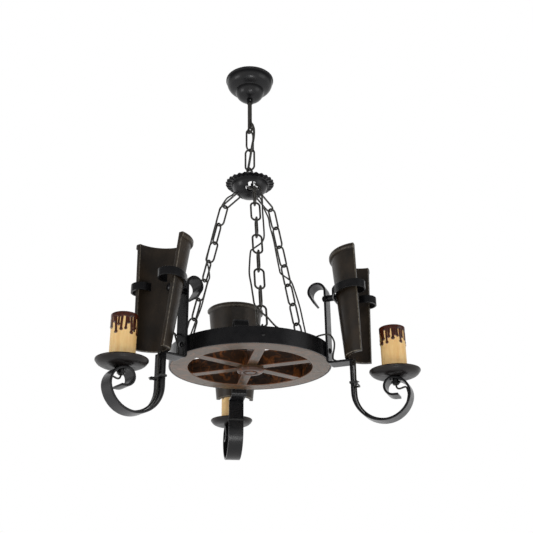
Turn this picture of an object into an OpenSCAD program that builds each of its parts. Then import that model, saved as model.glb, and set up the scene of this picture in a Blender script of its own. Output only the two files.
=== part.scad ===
/* [Wheel] */
// Outer diameter of the iron band
wheel_d = 300; // [260:1:360]
// Height of the iron band
band_h = 30; // [24:1:40]
// Thickness of the iron band
band_t = 3; // [2:0.5:4]
// Radial width of the wooden rim
rim_w = 32; // [24:1:40]
// Width of each wooden spoke
spoke_w = 18.5; // [12:0.5:24]
// Number of spokes
spoke_n = 6; // [4:1:8]
// Diameter of the turned hub disc
hub_d = 50; // [40:1:60]
// How far the hub disc stands below the wheel
hub_drop = 9; // [4:1:14]

/* [Arms] */
// Width of the flat iron bar
bar_w = 30; // [20:1:36]
// Thickness of the flat iron bar
bar_t = 4; // [3:0.5:5]
// Height of the strap's straight part above the wheel's underside
strap_h = 127.5; // [110:0.5:140]
// Centreline radius of the curl on top of the strap
curl_r = 15.5; // [11:0.5:18]
// Drop of the shelf's centreline below the wheel's underside
shelf_drop = 10.2; // [9:0.2:16]
// Reach of the shelf from the strap to the scroll bar
shelf_l = 40; // [36:1:50]
// Straight drop of the scroll bar below the shelf
scroll_leg = 58; // [40:1:70]
// Centreline radii of the scroll's four bends, from the leg to the tip
scroll_r1 = 51.5; // [45:0.5:60]
scroll_r2 = 48; // [42:0.5:50]
scroll_r3 = 28; // [24:0.5:32]
scroll_r4 = 15; // [13:0.5:18]
// Straight tip at the inner end of the scroll
scroll_tip = 8; // [4:1:12]

/* [Roof tiles] */
// Height of a tile
tile_h = 199; // [170:1:230]
// Outer radius at a tile's narrow bottom
tile_r_bottom = 38.4; // [32:0.2:42]
// Outer radius at a tile's wide top
tile_r_top = 58; // [50:0.5:62]
// Wall of a tile
tile_t = 7.5; // [5:0.5:9]
// Height of the raised lip along the top
lip_h = 11; // [6:1:16]
// How far the lip stands out
lip_t = 3; // [1:0.5:4]
// Height of the clamp's middle above the wheel's underside
clamp_z = 116; // [100:1:120]
// Height of the clamp band
clamp_h = 14.5; // [10:0.5:18]
// Thickness of the clamp band
clamp_t = 3; // [2:0.5:4]

/* [Candles] */
// Diameter of the candle sleeve
candle_d = 46; // [44:0.5:52]
// Height of the candle sleeve
candle_h = 88; // [75:1:110]
// Wall of the candle sleeve
candle_wall = 2; // [1.5:0.25:2.5]
// Diameter of the drip pan
pan_d = 88; // [76:1:100]
// Depth of the drip pan
pan_depth = 12.6; // [9:0.2:16]
// Sheet thickness of the drip pan
pan_t = 1.5; // [1:0.25:2]
// Outer diameter of the lampholder
holder_d = 38; // [34:0.5:39]
// Inside radius of the lampholder's mouth
holder_bore_r = 13.3; // [13:0.1:13.6]
// Depth of the lampholder's mouth
holder_bore_l = 26; // [20:1:30]

/* [Chains] */
// Pitch of the three bridle chains
link_p = 40.65; // [36:0.05:46]
// Wire of the bridle chains
link_d = 3.8; // [3:0.1:4.5]
// Outer width of a bridle link
link_w = 21; // [18:0.5:24]
// Links in the straight run of each bridle chain
link_n = 8; // [6:2:10]
// Slope of the first link out of the crown, below level
first_slope = 35; // [30:1:45]
// Pitch of the upper chain
top_p = 45.5; // [38:0.5:50]
// Wire of the upper chain
top_d = 4; // [3:0.1:4.5]
// Outer width of an upper link
top_w = 22.8; // [20:0.2:25]

/* [Crown and canopy] */
// Outer diameter of the scalloped crown
crown_d = 100; // [94:1:120]
// Diameter of the crown's bowl
bowl_d = 73; // [70:1:78]
// Depth of the crown's bowl
bowl_h = 30; // [28:1:34]
// Number of scallops round the crown
scallop_n = 26; // [20:1:40]
// Diameter of the canopy's rim
canopy_d = 102; // [96:1:120]
// Height of the canopy
canopy_h = 51; // [46:1:60]
// Diameter of the tube stem
stem_d = 9; // [8:0.5:12]
// Depth of the stem's eye, where the upper chain hangs
stem_l = 131; // [120:1:180]
// Distance between the two ceiling screws
screw_spacing = 62; // [50:1:64]
// Radius of the ceiling screw holes
screw_hole_r = 2.5; // [2:0.1:2.6]

/* [Cables] */
// Diameter of the mains lead
lead_d = 5; // [4:0.5:5.5]
// Diameter of each light's cable
cable_d = 3.2; // [2.8:0.2:3.4]

/* [Hidden] */
$fn = 48;
gap = 0.15;
wire_gap = 0.3;
sheet = 1.5;
iron = "#242322";
flex_grey = "#31312e";

// Wheel, measured from the rim's underside
wheel_r = wheel_d / 2;
rim_r = wheel_r - band_t;
rim_in = rim_r - rim_w;
wood_h = band_h - 1;
hub_core_r = hub_d / 2 - 3;

// Three arms and, between them, three chains
ARM_AT = [90, 210, 330];
CHAIN_AT = [30, 150, 270];
TILE_TURN = [1, 10, 0];
TILE_ROLL = [0, -5.5, -2.8];

// Strap, shelf and scroll, as radius from the wheel's axis and height
strap_r = wheel_r + gap + bar_t / 2;
bend_r = 5;
leg_r = strap_r + shelf_l + bar_t / 2;
shelf_end = leg_r - bar_t / 2 - gap;
leg_end = -shelf_drop - scroll_leg;
c1 = [leg_r + scroll_r1, leg_end];
c2 = [c1[0], c1[1] - scroll_r1 + scroll_r2];
turn2 = 345;
c3 = c2 + (scroll_r2 - scroll_r3) * [cos(turn2), sin(turn2)];
c4 = [c3[0], c3[1] + scroll_r3 - scroll_r4];
pan_r = c3[0] + 3;
pan_z = c3[1] + scroll_r3 + bar_t / 2 + gap;
nipple_r = 5;
nipple_end = pan_z - bar_t - 9;
screw_r = 2.4;
bolt_r = 3;

// Tiles stand on their own upright axis
tile_z = -shelf_drop + bar_t / 2 + 4;
tile_axis = leg_r + 26;
function tile_r_at(z) = tile_r_bottom + (tile_r_top - tile_r_bottom) * (z - tile_z) / tile_h;
clamp_r = tile_r_at(clamp_z + clamp_h / 2) + wire_gap;

// Bridle chains: eye on the rim, straight run, sloping first link, hook
eye_d = 3;
eye_r = rim_r - 8;
eye_in = 6.2;
attach_z = wood_h + link_d + 1.2;
hook_d = 4.5;
hook_r = 6;
n9_r = 22;
run = link_n * link_p;
low_r = n9_r + (link_p + link_d / 2) * cos(first_slope);
n8_r = low_r - link_d / 2 * (eye_r - low_r) / run;
rise = sqrt(run * run - (eye_r - n8_r) * (eye_r - n8_r));
lean = atan2(eye_r - n8_r, rise);
n8_z = attach_z + rise;
n9_z = n8_z - link_d / 2 * cos(lean) + (link_p + link_d / 2) * sin(first_slope);
hook_c = [n9_r + (hook_d / 2 - hook_r) * cos(first_slope),
          n9_z - (hook_d / 2 - hook_r) * sin(first_slope)];
hook_low = hook_c[1] - hook_r;
boss_top = hook_low + hook_d / 2 + 1.6;
bowl_z = hook_low + 20.9;
bowl_in_z = bowl_z - bowl_h + sheet;
ring_r = 6.2;
j4 = boss_top + 2 * ring_r - hook_d / 2 - wire_gap - 1.8;
drop = stem_l + 3 * top_p + j4;

// Upper chain: height of each contact and the way each link faces
J = [-stem_l, -stem_l - top_p, -stem_l - 2 * top_p, -stem_l - 3 * top_p];
LINK_AT = [35, -25, 45];
stem_bore = lead_d + 1.4;
slot_w = lead_d + 0.7;
stem_end = J[0] + 9.5;
exit_z = J[0] + 16;
exit_at = -55;
bracket_z = -22;
bracket_t = 2;
collar_d = 13;
collar_h = 8;
body_z = -drop;

// The splice block in the crown, measured like the wheel
block_x = 7;
block_y = 21;
block_z = bowl_z - 15.5;
block_top = body_z + block_z + 8;

// Height of the tie that holds each light's cable to its scroll bar
tie_z = -51;

// Route of the mains lead, from the terminal block to the splice
LEAD = [[14, 0, -26.5], [14, 0, -34], [11.8, 0, -38.4], [6.5, 0, -43.2], [2, 0, -48.5], [0.3, 0, -55],
        [0, 0, -66], [0, 0, -92], [0.3, -0.4, -101], [2.2, -3.1, -110], [5.2, -7.4, -119], [7.4, -9.4, -132],
        [6.8, -8.8, -150], [3.4, -8.4, -171], [1.6, -4.4, -185], [0, -0.4, -198], [-1.6, 3.8, -210],
        [-3.4, 7.4, -223], [-4.6, 12, -240], [-3, 17, -250], [-0.8, 20.2, block_top + 8],
        [0, block_y, block_top + 0.6]];

// Route of each light's cable: down its chain as [links, sideways, outwards], then round the wheel as
// [angle, outwards, upwards] from the band's top edge, and down the arm from the strap's middle
CABLE_CHAIN = [[0.295, 13.6, 0], [0.738, 14.6, 0], [1.476, 13.6, 1], [2.46, 14, 0], [3.05, 13.4, -1],
               [3.296, 9, -4.8], [3.518, 0, -5.4], [3.739, -9, -4.8], [3.961, -13.4, -1.5],
               [4.674, -16.5, 0], [5.289, -18, 1], [5.904, -16, 3], [6.593, -14, 4.8],
               [6.986, -12.5, 5.6], [7.257, -7, 5.6], [7.454, 1, 5.6], [7.651, 10, 4.6]];
CABLE_RIM = [[6.8, -7, 9.5], [11, -10.5, 3.4], [16, -12, 1.4], [26, -12.5, 1.2], [36, -12, 1.2],
             [46, -10, 3], [50, -4, 7.5], [52, 3.5, 9.6]];
CABLE_ARM = [[6.85, -16, 9.6], [9.85, -10, 6], [11.45, -4, -1.5], [9.85, -1, -12], [6.85, 0, -24],
             [7.85, 0, -32]];

// Stations of a bar's centreline, [radius, height, heading]: a bend about a centre, or one point
function bend(c, r, from, to, step = 7.5) = let (n = ceil(abs(to - from) / step), s = sign(to - from))
    [for (i = [0 : n]) let (a = from + (to - from) * i / n) [c[0] + r * cos(a), c[1] + r * sin(a), a + s * 90]];
function straight(c, heading) = [[c[0], c[1], heading]];
function side(P, o) = [for (p = P) [p[0] - o * sin(p[2]), p[1] + o * cos(p[2])]];

// A flat bar bent to a centreline in the arm's own plane
module bar(P) {
    right = side(P, -bar_t / 2);
    rotate([90, 0, 0]) translate([0, 0, -bar_w / 2]) linear_extrude(bar_w)
        polygon(concat(side(P, bar_t / 2), [for (i = [len(P) - 1 : -1 : 0]) right[i]]));
}

// Round wire, bent through an arc of the XZ plane
module wire_arc(r, d, from, to) {
    rotate([90, 0, 0]) rotate([0, 0, from]) rotate_extrude(angle = to - from) translate([r, 0]) circle(d = d);
}

// A chain link in the XZ plane that hangs from the origin, with a butt joint in one leg
module link(p, w, d) {
    r = (w - d) / 2;
    leg = p + wire_gap + d - 2 * r;
    seam = 0.4;
    translate([0, 0, d / 2 + wire_gap - r]) {
        wire_arc(r, d, 0, 180);
        translate([0, 0, -leg]) wire_arc(r, d, 180, 360);
        translate([r, 0, -leg]) cylinder(h = leg, d = d);
        translate([-r, 0, -leg]) cylinder(h = (leg - seam) / 2, d = d);
        translate([-r, 0, (seam - leg) / 2]) cylinder(h = (leg - seam) / 2, d = d);
    }
}

// Smooth curve through a route, two steps to a span
function spline(a, b, c, d, t) = 0.5 * (2 * b + (c - a) * t + (2 * a - 5 * b + 4 * c - d) * t * t
    + (3 * b - a - 3 * c + d) * t * t * t);
function smooth(P, k = 2) = let (n = len(P) - 1) concat(
    [for (i = [0 : n - 1], s = [0 : k - 1])
        spline(P[max(i - 1, 0)], P[i], P[i + 1], P[min(i + 2, n)], s / k)], [P[n]]);
function unit(v) = v / norm(v);
function tangents(P) = let (n = len(P) - 1)
    [for (i = [0 : n]) unit(P[min(i + 1, n)] - P[max(i - 1, 0)])];
function carried(T, i, side) = let (s = side - (side * T[i]) * T[i])
    i == len(T) - 1 ? [unit(s)] : concat([unit(s)], carried(T, i + 1, unit(s)));

// A cord of eight sides along a route
module cord(P, d, side = [0, 1, 0]) {
    T = tangents(P);
    U = carried(T, 0, side);
    n = 8;
    last = len(P) - 1;
    ring = [for (i = [0 : last], a = [0 : n - 1])
        P[i] + d / 2 * (cos(360 * a / n) * U[i] + sin(360 * a / n) * cross(T[i], U[i]))];
    walls = [for (i = [0 : last - 1], a = [0 : n - 1], h = [0, 1]) let (b = (a + 1) % n, k = i * n)
        h == 0 ? [k + a, k + n + a, k + b] : [k + b, k + n + a, k + n + b]];
    polyhedron(ring, concat(walls, [[for (a = [0 : n - 1]) a]], [[for (a = [n - 1 : -1 : 0]) last * n + a]]));
}

module on_wheel() { translate([0, 0, body_z]) children(); }
module on_arm(k) { on_wheel() rotate([0, 0, ARM_AT[k]]) children(); }
module each_arm() { for (k = [0 : 2]) on_arm(k) children(); }
module each_chain() { for (a = CHAIN_AT) on_wheel() rotate([0, 0, a]) children(); }

// ---- Ceiling fixing ----

module ceiling_bracket() {
    foot = 15;
    half = screw_spacing / 2;
    deep = -bracket_z;
    color("#b9bab6") difference() {
        union() {
            for (s = [-1, 1]) {
                translate([s * half - foot / 2, -10, -bracket_t]) cube([foot, 20, bracket_t]);
                translate([s * (half - foot / 2) - bracket_t / 2, -10, -deep - bracket_t])
                    cube([bracket_t, 20, deep + bracket_t]);
            }
            translate([-half + foot / 2, -10, -deep - bracket_t]) cube([2 * half - foot, 20, bracket_t]);
        }
        for (s = [-1, 1]) translate([s * half, 0, -deep]) cylinder(h = deep + 1, r = screw_hole_r);
        translate([0, 0, -deep - bracket_t - 1]) cylinder(h = bracket_t + 2, d = stem_d + 0.4);
    }
}

module stem() {
    color(iron) {
        difference() {
            translate([0, 0, stem_end]) cylinder(h = bracket_z + 8 - stem_end, d = stem_d);
            translate([0, 0, exit_z - 2]) cylinder(h = bracket_z + 12 - exit_z, d = stem_bore);
            // the lead leaves and enters through slots in the tube's side
            rotate([0, 0, exit_at]) translate([0, -slot_w / 2, exit_z - 1.6]) cube([stem_d, slot_w, 15]);
            translate([0, -slot_w / 2, -56]) cube([stem_d, slot_w, 20]);
        }
        translate([0, 0, J[0] - hook_d / 2 + 6]) rotate([0, 0, LINK_AT[0] + 90]) wire_arc(6, hook_d, -210, 100);
    }
}

module stem_nuts() {
    color("#c9b36a") for (z = [bracket_z + gap, bracket_z - bracket_t - gap - 4])
        translate([0, 0, z]) difference() {
            cylinder(h = 4, d = stem_d + 6, $fn = 6);
            translate([0, 0, -1]) cylinder(h = 6, d = stem_d + 0.1);
        }
}

module terminal_block() {
    color("#e6e4dc") difference() {
        translate([10, -9, bracket_z - bracket_t - gap - 9]) cube([11, 18, 9]);
        translate([14, 0, bracket_z - bracket_t - gap - 10]) cylinder(h = 8.5, d = lead_d + 0.4);
        for (y = [-6.2, 6.2]) translate([17, y, bracket_z - bracket_t - gap - 10]) cylinder(h = 5, d = 3.4);
    }
}

module terminal_screws() {
    color("#c9b36a") for (y = [-6.2, 6.2])
        translate([17, y, bracket_z - bracket_t - gap - 9.5]) cylinder(h = 4, d = 3);
}

// The canopy's outer outline, [radius, depth], from the rim down to the collar
function canopy_line(o) = let (r = canopy_d / 2, h = canopy_h) concat(
    [[r - o, 0], [r - o, -1.6], [r - 1.5 - o, -3.2]],
    [for (a = [0 : 15 : 75]) [r - 15 - o + 13 * cos(a), -6 - 19 * sin(a) + o * sin(a)]],
    [[r - 17.5 - o * 0.7, -26 + o]],
    [for (a = [0 : 12 : 72]) [6.5 + (r - 27) * cos(a) - o * cos(a), -28 + o - (h - 28) * sin(a)]],
    [[stem_d / 2 + 0.6, -h + o]]);

module canopy() {
    color(iron) rotate_extrude($fn = 96)
        polygon(concat(canopy_line(0), [for (i = [len(canopy_line(0)) - 1 : -1 : 0]) canopy_line(sheet)[i]]));
}

module canopy_collar() {
    color(iron) translate([0, 0, -canopy_h - gap - collar_h]) difference() {
        cylinder(h = collar_h, d = collar_d);
        translate([0, 0, -1]) cylinder(h = collar_h + 2, d = stem_d + 0.8);
        translate([0, 0, collar_h / 2]) rotate([90, 0, 0]) cylinder(h = collar_d, d = 3.2);
    }
}

module collar_screw() {
    color("#6d6c68") translate([0, -stem_d / 2 - 0.5, -canopy_h - gap - collar_h / 2]) rotate([90, 0, 0])
        cylinder(h = collar_d / 2 - stem_d / 2 + 0.6, d = 3);
}

// ---- Upper chain ----

module top_link(i) {
    color(iron) translate([0, 0, J[i]]) rotate([0, 0, LINK_AT[i]]) link(top_p, top_w, top_d);
}
module top_link_1() { top_link(0); }
module top_link_2() { top_link(1); }
module top_link_3() { top_link(2); }

// ---- Crown ----

// Half outline of the bowl, an ellipse about the crown's rim plane
function bowl_line(o) = [for (a = [0 : 7.5 : 90]) [(bowl_d / 2 - o) * cos(a), -(bowl_h - o) * sin(a)]];

module crown() {
    edge = [for (a = [0 : 360 / scallop_n / 6 : 359.99])
        (crown_d / 2 - 1 + cos(a * scallop_n)) * [cos(a), sin(a)]];
    flat_r = bowl_d / 2 * 0.24;
    color(iron) on_wheel() difference() {
        translate([0, 0, bowl_z]) {
            difference() {
                union() {
                    rotate_extrude($fn = 96) polygon(concat(bowl_line(0), [[0, 0]]));
                    linear_extrude(2.2) polygon(edge);
                }
                rotate_extrude($fn = 96) polygon(concat([[bowl_d / 2 - sheet, 5]], bowl_line(sheet), [[0, 5]]));
            }
            translate([0, 0, -bowl_h + 0.4]) cylinder(h = sheet + 0.3, r = flat_r * 0.7);
        }
        // a punched hole for each chain and cable
        for (a = CHAIN_AT) rotate([0, 0, a]) translate([n9_r, 0, n9_z]) rotate([0, 90 + first_slope, 0])
            translate([0, 0, 1.5]) cylinder(h = 34, r = link_w / 2 + 1.6);
    }
}

module crown_hanger() {
    color(iron) on_wheel() {
        translate([0, 0, bowl_in_z + 0.7 + gap]) cylinder(h = boss_top - bowl_in_z - 0.7 - gap, r = 7);
        translate([0, 0, j4 + hook_d / 2 + wire_gap - ring_r]) rotate([0, 0, LINK_AT[2] + 90])
            wire_arc(ring_r, hook_d, 0, 360);
        for (a = CHAIN_AT) rotate([0, 0, a]) {
            translate([0, 0, hook_low]) rotate([0, 90, 0]) cylinder(h = hook_c[0], d = hook_d);
            translate([hook_c[0], 0, hook_c[1]]) wire_arc(hook_r, hook_d, -90, 30);
        }
    }
}

module splice_block() {
    color("#1f1e1d") on_wheel() translate([-block_x, block_y - 5, block_z]) cube([2 * block_x, 10, 8]);
}

// ---- Bridle chains, each with one sloping link and a straight run ----

module bridle(at) {
    color(iron) on_wheel() rotate([0, 0, at]) {
        translate([n9_r, 0, n9_z]) rotate([0, first_slope - 90, 0]) rotate([0, 0, 90])
            link(link_p, link_w, link_d);
        for (i = [0 : link_n - 1])
            translate([n8_r, 0, n8_z] + i * link_p * [sin(lean), 0, -cos(lean)]) rotate([0, -lean, 0])
                rotate([0, 0, 90 * (i % 2)]) link(link_p, link_w, link_d);
    }
}
module chain_right() { bridle(CHAIN_AT[0]); }
module chain_left() { bridle(CHAIN_AT[1]); }
module chain_near() { bridle(CHAIN_AT[2]); }

// ---- Wheel ----

module screw_axis() { translate([0, 0, band_h / 2]) rotate([0, 90, 0]) children(); }

module wheel_band() {
    color(iron) difference() {
        on_wheel() difference() {
            cylinder(h = band_h, r = wheel_r, $fn = 180);
            translate([0, 0, -1]) cylinder(h = band_h + 2, r = rim_r + gap, $fn = 180);
        }
        each_arm() screw_axis() cylinder(h = wheel_r + 5, r = screw_r + 0.1);
        each_chain() screw_axis() cylinder(h = wheel_r + 5, r = 1.6);
    }
}

module wheel_rim() {
    color("#7d5a45") difference() {
        on_wheel() difference() {
            cylinder(h = wood_h, r = rim_r, $fn = 180);
            translate([0, 0, -1]) cylinder(h = band_h + 2, r = rim_in, $fn = 180);
        }
        each_arm() screw_axis() translate([0, 0, wheel_r - 26]) cylinder(h = 40, r = screw_r + 0.1);
        each_chain() screw_axis() translate([0, 0, wheel_r - 22]) cylinder(h = 40, r = 1.6);
        each_chain() for (s = [-1, 1]) translate([eye_r + s * (eye_in + eye_d) / 2, 0, wood_h - 12])
            cylinder(h = 20, d = eye_d + 0.2);
    }
}

module spoke(i) {
    color("#6b3a24") on_wheel() rotate([0, 0, 30 + i * 360 / spoke_n]) intersection() {
        translate([0, -spoke_w / 2, 0.5]) cube([wheel_r, spoke_w, wood_h - 1]);
        difference() {
            cylinder(h = band_h, r = rim_in - gap, $fn = 180);
            translate([0, 0, -1]) cylinder(h = band_h + 2, r = hub_core_r + gap);
        }
    }
}
module spoke_1() { spoke(0); }
module spoke_2() { spoke(1); }
module spoke_3() { spoke(2); }
module spoke_4() { spoke(3); }
module spoke_5() { spoke(4); }
module spoke_6() { spoke(5); }

module hub() {
    r = hub_d / 2;
    color("#6b4a38") on_wheel() rotate_extrude($fn = 96)
        polygon([[0, -hub_drop], [r * 0.34, -hub_drop], [r * 0.4, -hub_drop + 1], [r * 0.42, -hub_drop + 3.5],
                 [r * 0.5, -hub_drop + 3.5], [r * 0.55, -hub_drop + 1], [r * 0.66, -hub_drop],
                 [r * 0.86, -hub_drop + 0.6], [r * 0.97, -hub_drop + 2.6], [r, -hub_drop + 5], [r, 0.3],
                 [hub_core_r, 0.3], [hub_core_r, wood_h], [r * 0.6, wood_h + 2.5], [0, wood_h + 3.5]]);
}

module chain_eyes() {
    span = eye_in + eye_d;
    top = attach_z + eye_d / 2 + 2 * wire_gap;
    color(iron) each_chain() translate([eye_r, 0, 0]) {
        translate([0, 0, top - span / 2]) wire_arc(span / 2, eye_d, 0, 180);
        for (s = [-1, 1]) translate([s * span / 2, 0, wood_h - 11.5])
            cylinder(h = top - span / 2 - wood_h + 11.5, d = eye_d);
    }
}

module band_rivets() {
    color("#33312f") each_chain() screw_axis() {
        translate([0, 0, wheel_r - 20]) cylinder(h = 20 + gap, r = 1.5);
        translate([0, 0, wheel_r + gap]) intersection() {
            translate([0, 0, -2]) sphere(r = 4);
            cylinder(h = 5, r = 5);
        }
    }
}

module strap_screws() {
    out = strap_r + bar_t / 2 + gap;
    color("#33312f") each_arm() screw_axis() {
        translate([0, 0, wheel_r - 24]) cylinder(h = out - wheel_r + 24.5, r = screw_r);
        translate([0, 0, out]) intersection() {
            translate([0, 0, -3]) sphere(r = 6);
            cylinder(h = 5, r = 6);
        }
    }
}

// ---- Arms ----

module strap(k) {
    c = [strap_r - curl_r, strap_h];
    tail = c + curl_r * [cos(210), sin(210)] + 17 * [cos(300), sin(300)];
    color(iron) on_arm(k) difference() {
        bar(concat(straight([shelf_end, -shelf_drop], 180),
                   bend([strap_r + bend_r, bend_r - shelf_drop], bend_r, 270, 180),
                   bend(c, curl_r, 0, 210), straight(tail, 300)));
        screw_axis() cylinder(h = 2 * wheel_r, r = screw_r + 0.1);
        translate([0, 0, clamp_z]) rotate([0, 90, 0]) cylinder(h = 2 * wheel_r, r = bolt_r + 0.1);
    }
}

module scroll(k) {
    color(iron) on_arm(k) difference() {
        bar(concat(straight([leg_r, -shelf_drop + bar_t / 2], 270), bend(c1, scroll_r1, 180, 270),
                   bend(c2, scroll_r2, 270, turn2), bend(c3, scroll_r3, turn2, 450),
                   bend(c4, scroll_r4, 90, 270), straight(c4 + [scroll_tip, -scroll_r4], 0)));
        translate([pan_r, 0, nipple_end]) cylinder(h = 30, r = nipple_r + 0.1);
    }
}

// Places a tile: turned a little on its axis, and rolled a little
module as_tile(k) {
    on_arm(k) translate([tile_axis, 0, tile_z]) rotate([TILE_ROLL[k], 0, 0]) rotate([0, 0, TILE_TURN[k]])
        children();
}

// How far a rolled tile stands aside from the bolt, and a circle's reach at that distance from its middle
function tile_off(k) = (tile_z - clamp_z) * sin(TILE_ROLL[k]);
function chord(r, y) = sqrt(r * r - y * y);

module bolt_axis(k) { on_arm(k) translate([0, 0, clamp_z]) rotate([0, 90, 0]) children(); }

module tile(k) {
    cone = (tile_r_top - tile_r_bottom) / tile_h;
    color("#3a2c22") difference() {
        as_tile(k) rotate([0, 0, 90]) rotate_extrude(angle = 180, $fn = 96)
            polygon([[tile_r_bottom - tile_t, 0], [tile_r_bottom, 0],
                     [tile_r_top - cone * lip_h, tile_h - lip_h],
                     [tile_r_top + lip_t - 0.8, tile_h - lip_h + 2], [tile_r_top + lip_t, tile_h - lip_h + 4],
                     [tile_r_top + lip_t, tile_h - 2], [tile_r_top + lip_t - 1.5, tile_h],
                     [tile_r_top - tile_t, tile_h]]);
        bolt_axis(k) cylinder(h = tile_axis, r = bolt_r + 0.3);
    }
}

module clamp_band(k) {
    r = clamp_r + clamp_t / 2;
    curl = 18.5;
    c = (r - curl) * [cos(100), sin(100)];
    // the band stands level, so it reaches further to the side that its tile leans to
    wide = 8 + 0.55 * tile_off(k);
    slim = 8 - tile_off(k) / 6;
    // the band's centreline, from one curled end round the tile's back to the other
    P = concat(bend([c[0], c[1] + wide], curl, -112, 100), bend([0, wide], r, 105, 180, 5),
               bend([0, -slim], r, 180, 255, 5), bend([c[0], -c[1] - slim], curl, 260, 472));
    inner = side(P, -clamp_t / 2);
    color(iron) difference() {
        on_arm(k) translate([tile_axis, 0, clamp_z - clamp_h / 2]) linear_extrude(clamp_h)
            polygon(concat(side(P, clamp_t / 2), [for (i = [len(P) - 1 : -1 : 0]) inner[i]]));
        bolt_axis(k) cylinder(h = tile_axis, r = bolt_r + 0.1);
    }
}

module clamp_bolts() {
    color("#33312f") for (k = [0 : 2]) bolt_axis(k) {
        seat = tile_axis - chord(tile_r_at(clamp_z - 8) - tile_t, tile_off(k) + 8) + wire_gap;
        translate([0, 0, strap_r - bar_t / 2 - 6.5]) cylinder(h = seat - strap_r + bar_t / 2 + 7, r = bolt_r);
        translate([0, 0, seat]) intersection() {
            translate([0, 0, -5]) sphere(r = 9);
            cylinder(h = 6, r = 8);
        }
    }
}

module clamp_spacers() {
    near = strap_r + bar_t / 2 + gap;
    far = tile_axis - clamp_r - clamp_t - wire_gap;
    color(iron) for (k = [0 : 2]) bolt_axis(k) translate([0, 0, near]) difference() {
        cylinder(h = far - near, r = 6);
        translate([0, 0, -1]) cylinder(h = far, r = bolt_r + 0.1);
    }
}

module clamp_nuts() {
    near = strap_r - bar_t / 2 - gap;
    color("#33312f") for (k = [0 : 2]) bolt_axis(k) translate([0, 0, near - 5]) difference() {
        cylinder(h = 5, r = 5.8, $fn = 6);
        translate([0, 0, -1]) cylinder(h = 7, r = bolt_r + 0.05);
    }
}

module pan_nuts() {
    color("#c9b36a") each_arm() translate([pan_r, 0, nipple_end + 2.6]) difference() {
        cylinder(h = 3.5, r = 8, $fn = 6);
        translate([0, 0, -1]) cylinder(h = 6, r = nipple_r + 0.05);
    }
}

module cable_ties() {
    in_r = leg_r - bar_t / 2 - 0.4;
    out_r = leg_r + bar_t / 2 + cable_d + 1;
    wide = bar_w + 0.8;
    color("#1d1d1d") each_arm() translate([0, 0, tie_z]) difference() {
        union() {
            translate([in_r - 1.2, -wide / 2 - 1.2, -1.75]) cube([out_r - in_r + 2.4, wide + 2.4, 3.5]);
            // the lock, and the strap's cut tail
            translate([out_r, -wide / 2 - 1, -2.5]) cube([4, 6, 5]);
            translate([out_r + 3.5, 0.4 - wide / 2, -0.6]) cube([3.5, 3.2, 1.2]);
        }
        translate([in_r, -wide / 2, -5]) cube([out_r - in_r, wide, 10]);
    }
}

// ---- Candles ----

module pan(k) {
    r = pan_d / 2;
    base = candle_d / 2 + 1;
    color("#2b2523") on_arm(k) translate([pan_r, 0, pan_z]) difference() {
        rotate_extrude($fn = 96)
            polygon(concat([[0, 0], [base, 0]],
                [for (a = [0 : 15 : 75]) [base + (r - base - 1) * sin(a), (pan_depth - 1.5) * (1 - cos(a))]],
                [[r, pan_depth - 2.6], [r, pan_depth], [r - 1.6, pan_depth], [r - 2.2, pan_depth - 1.4]],
                [for (a = [72 : -12 : 0])
                    [base + (r - base - 3) * sin(a), pan_t + (pan_depth - 3) * (1 - cos(a))]],
                [[0, pan_t]]));
        translate([0, 0, -1]) cylinder(h = 5, r = nipple_r + 0.1);
    }
}

module lampholder(k) {
    r = holder_d / 2;
    h = candle_h - 14;
    color("#1f1e1d") on_arm(k) translate([pan_r, 0, pan_z + pan_t + gap]) difference() {
        union() {
            translate([0, 0, nipple_end - pan_z - pan_t])
                cylinder(h = pan_t - nipple_end + pan_z + 3, r = nipple_r);
            cylinder(h = 3, r = 14);
            translate([0, 0, 2.9]) cylinder(h = h - 30.9, r = 8);
            translate([0, 0, h - 28]) rotate_extrude($fn = 64)
                polygon([[0, -6], [11, -6], [r - 4, -2], [r, 3], [r, 26], [r - 1.5, 28], [0, 28]]);
        }
        translate([0, 0, h - holder_bore_l]) cylinder(h = holder_bore_l + 1, r = holder_bore_r);
        translate([0, 0, nipple_end - pan_z - 4]) cylinder(h = h, r = nipple_r - 1.3);
    }
}

module candle(k) {
    color("#d9b878") on_arm(k) translate([pan_r, 0, pan_z + pan_t + gap]) difference() {
        cylinder(h = candle_h, r = candle_d / 2, $fn = 96);
        translate([0, 0, -1]) cylinder(h = candle_h + 2, r = candle_d / 2 - candle_wall, $fn = 96);
    }
}

// ---- Cables ----

module mains_lead() { color(flex_grey) cord(smooth(LEAD), lead_d, [0, 1, 0]); }

function around(a, p) = [p[0] * cos(a) - p[1] * sin(a), p[0] * sin(a) + p[1] * cos(a), p[2]];
function polar(a, p) = [(wheel_r + p[1]) * cos(a + p[0]), (wheel_r + p[1]) * sin(a + p[0]), band_h + p[2]];
function down_chain(p) = [n8_r + p[0] * link_p * sin(lean) + p[2] * cos(lean), p[1],
                          n8_z - p[0] * link_p * cos(lean) + p[2] * sin(lean)];

// From the splice, out through the crown's hole, down the chain, along the rim and out over the band
START = [[[block_x + 0.8, 18.5, block_z + 4], [12, 18, block_z + 4.4]],
         [[-block_x - 0.8, 21, block_z + 4], [-12, 22, block_z + 5], [-22, 20, block_z + 6],
          [-25, 12, block_z + 6.5]],
         [[block_x + 0.8, 23.5, block_z + 5], [13, 24, block_z + 6.4], [23, 20, block_z + 9.5],
          [30, 4, block_z + 9], [22, -13, block_z + 8]]];
OUT = [[22.5, 7, 12.6], [29, 6.4, 7.6], [36, 7.4, 0.6], [46, 13.4, -9.4]];

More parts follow.
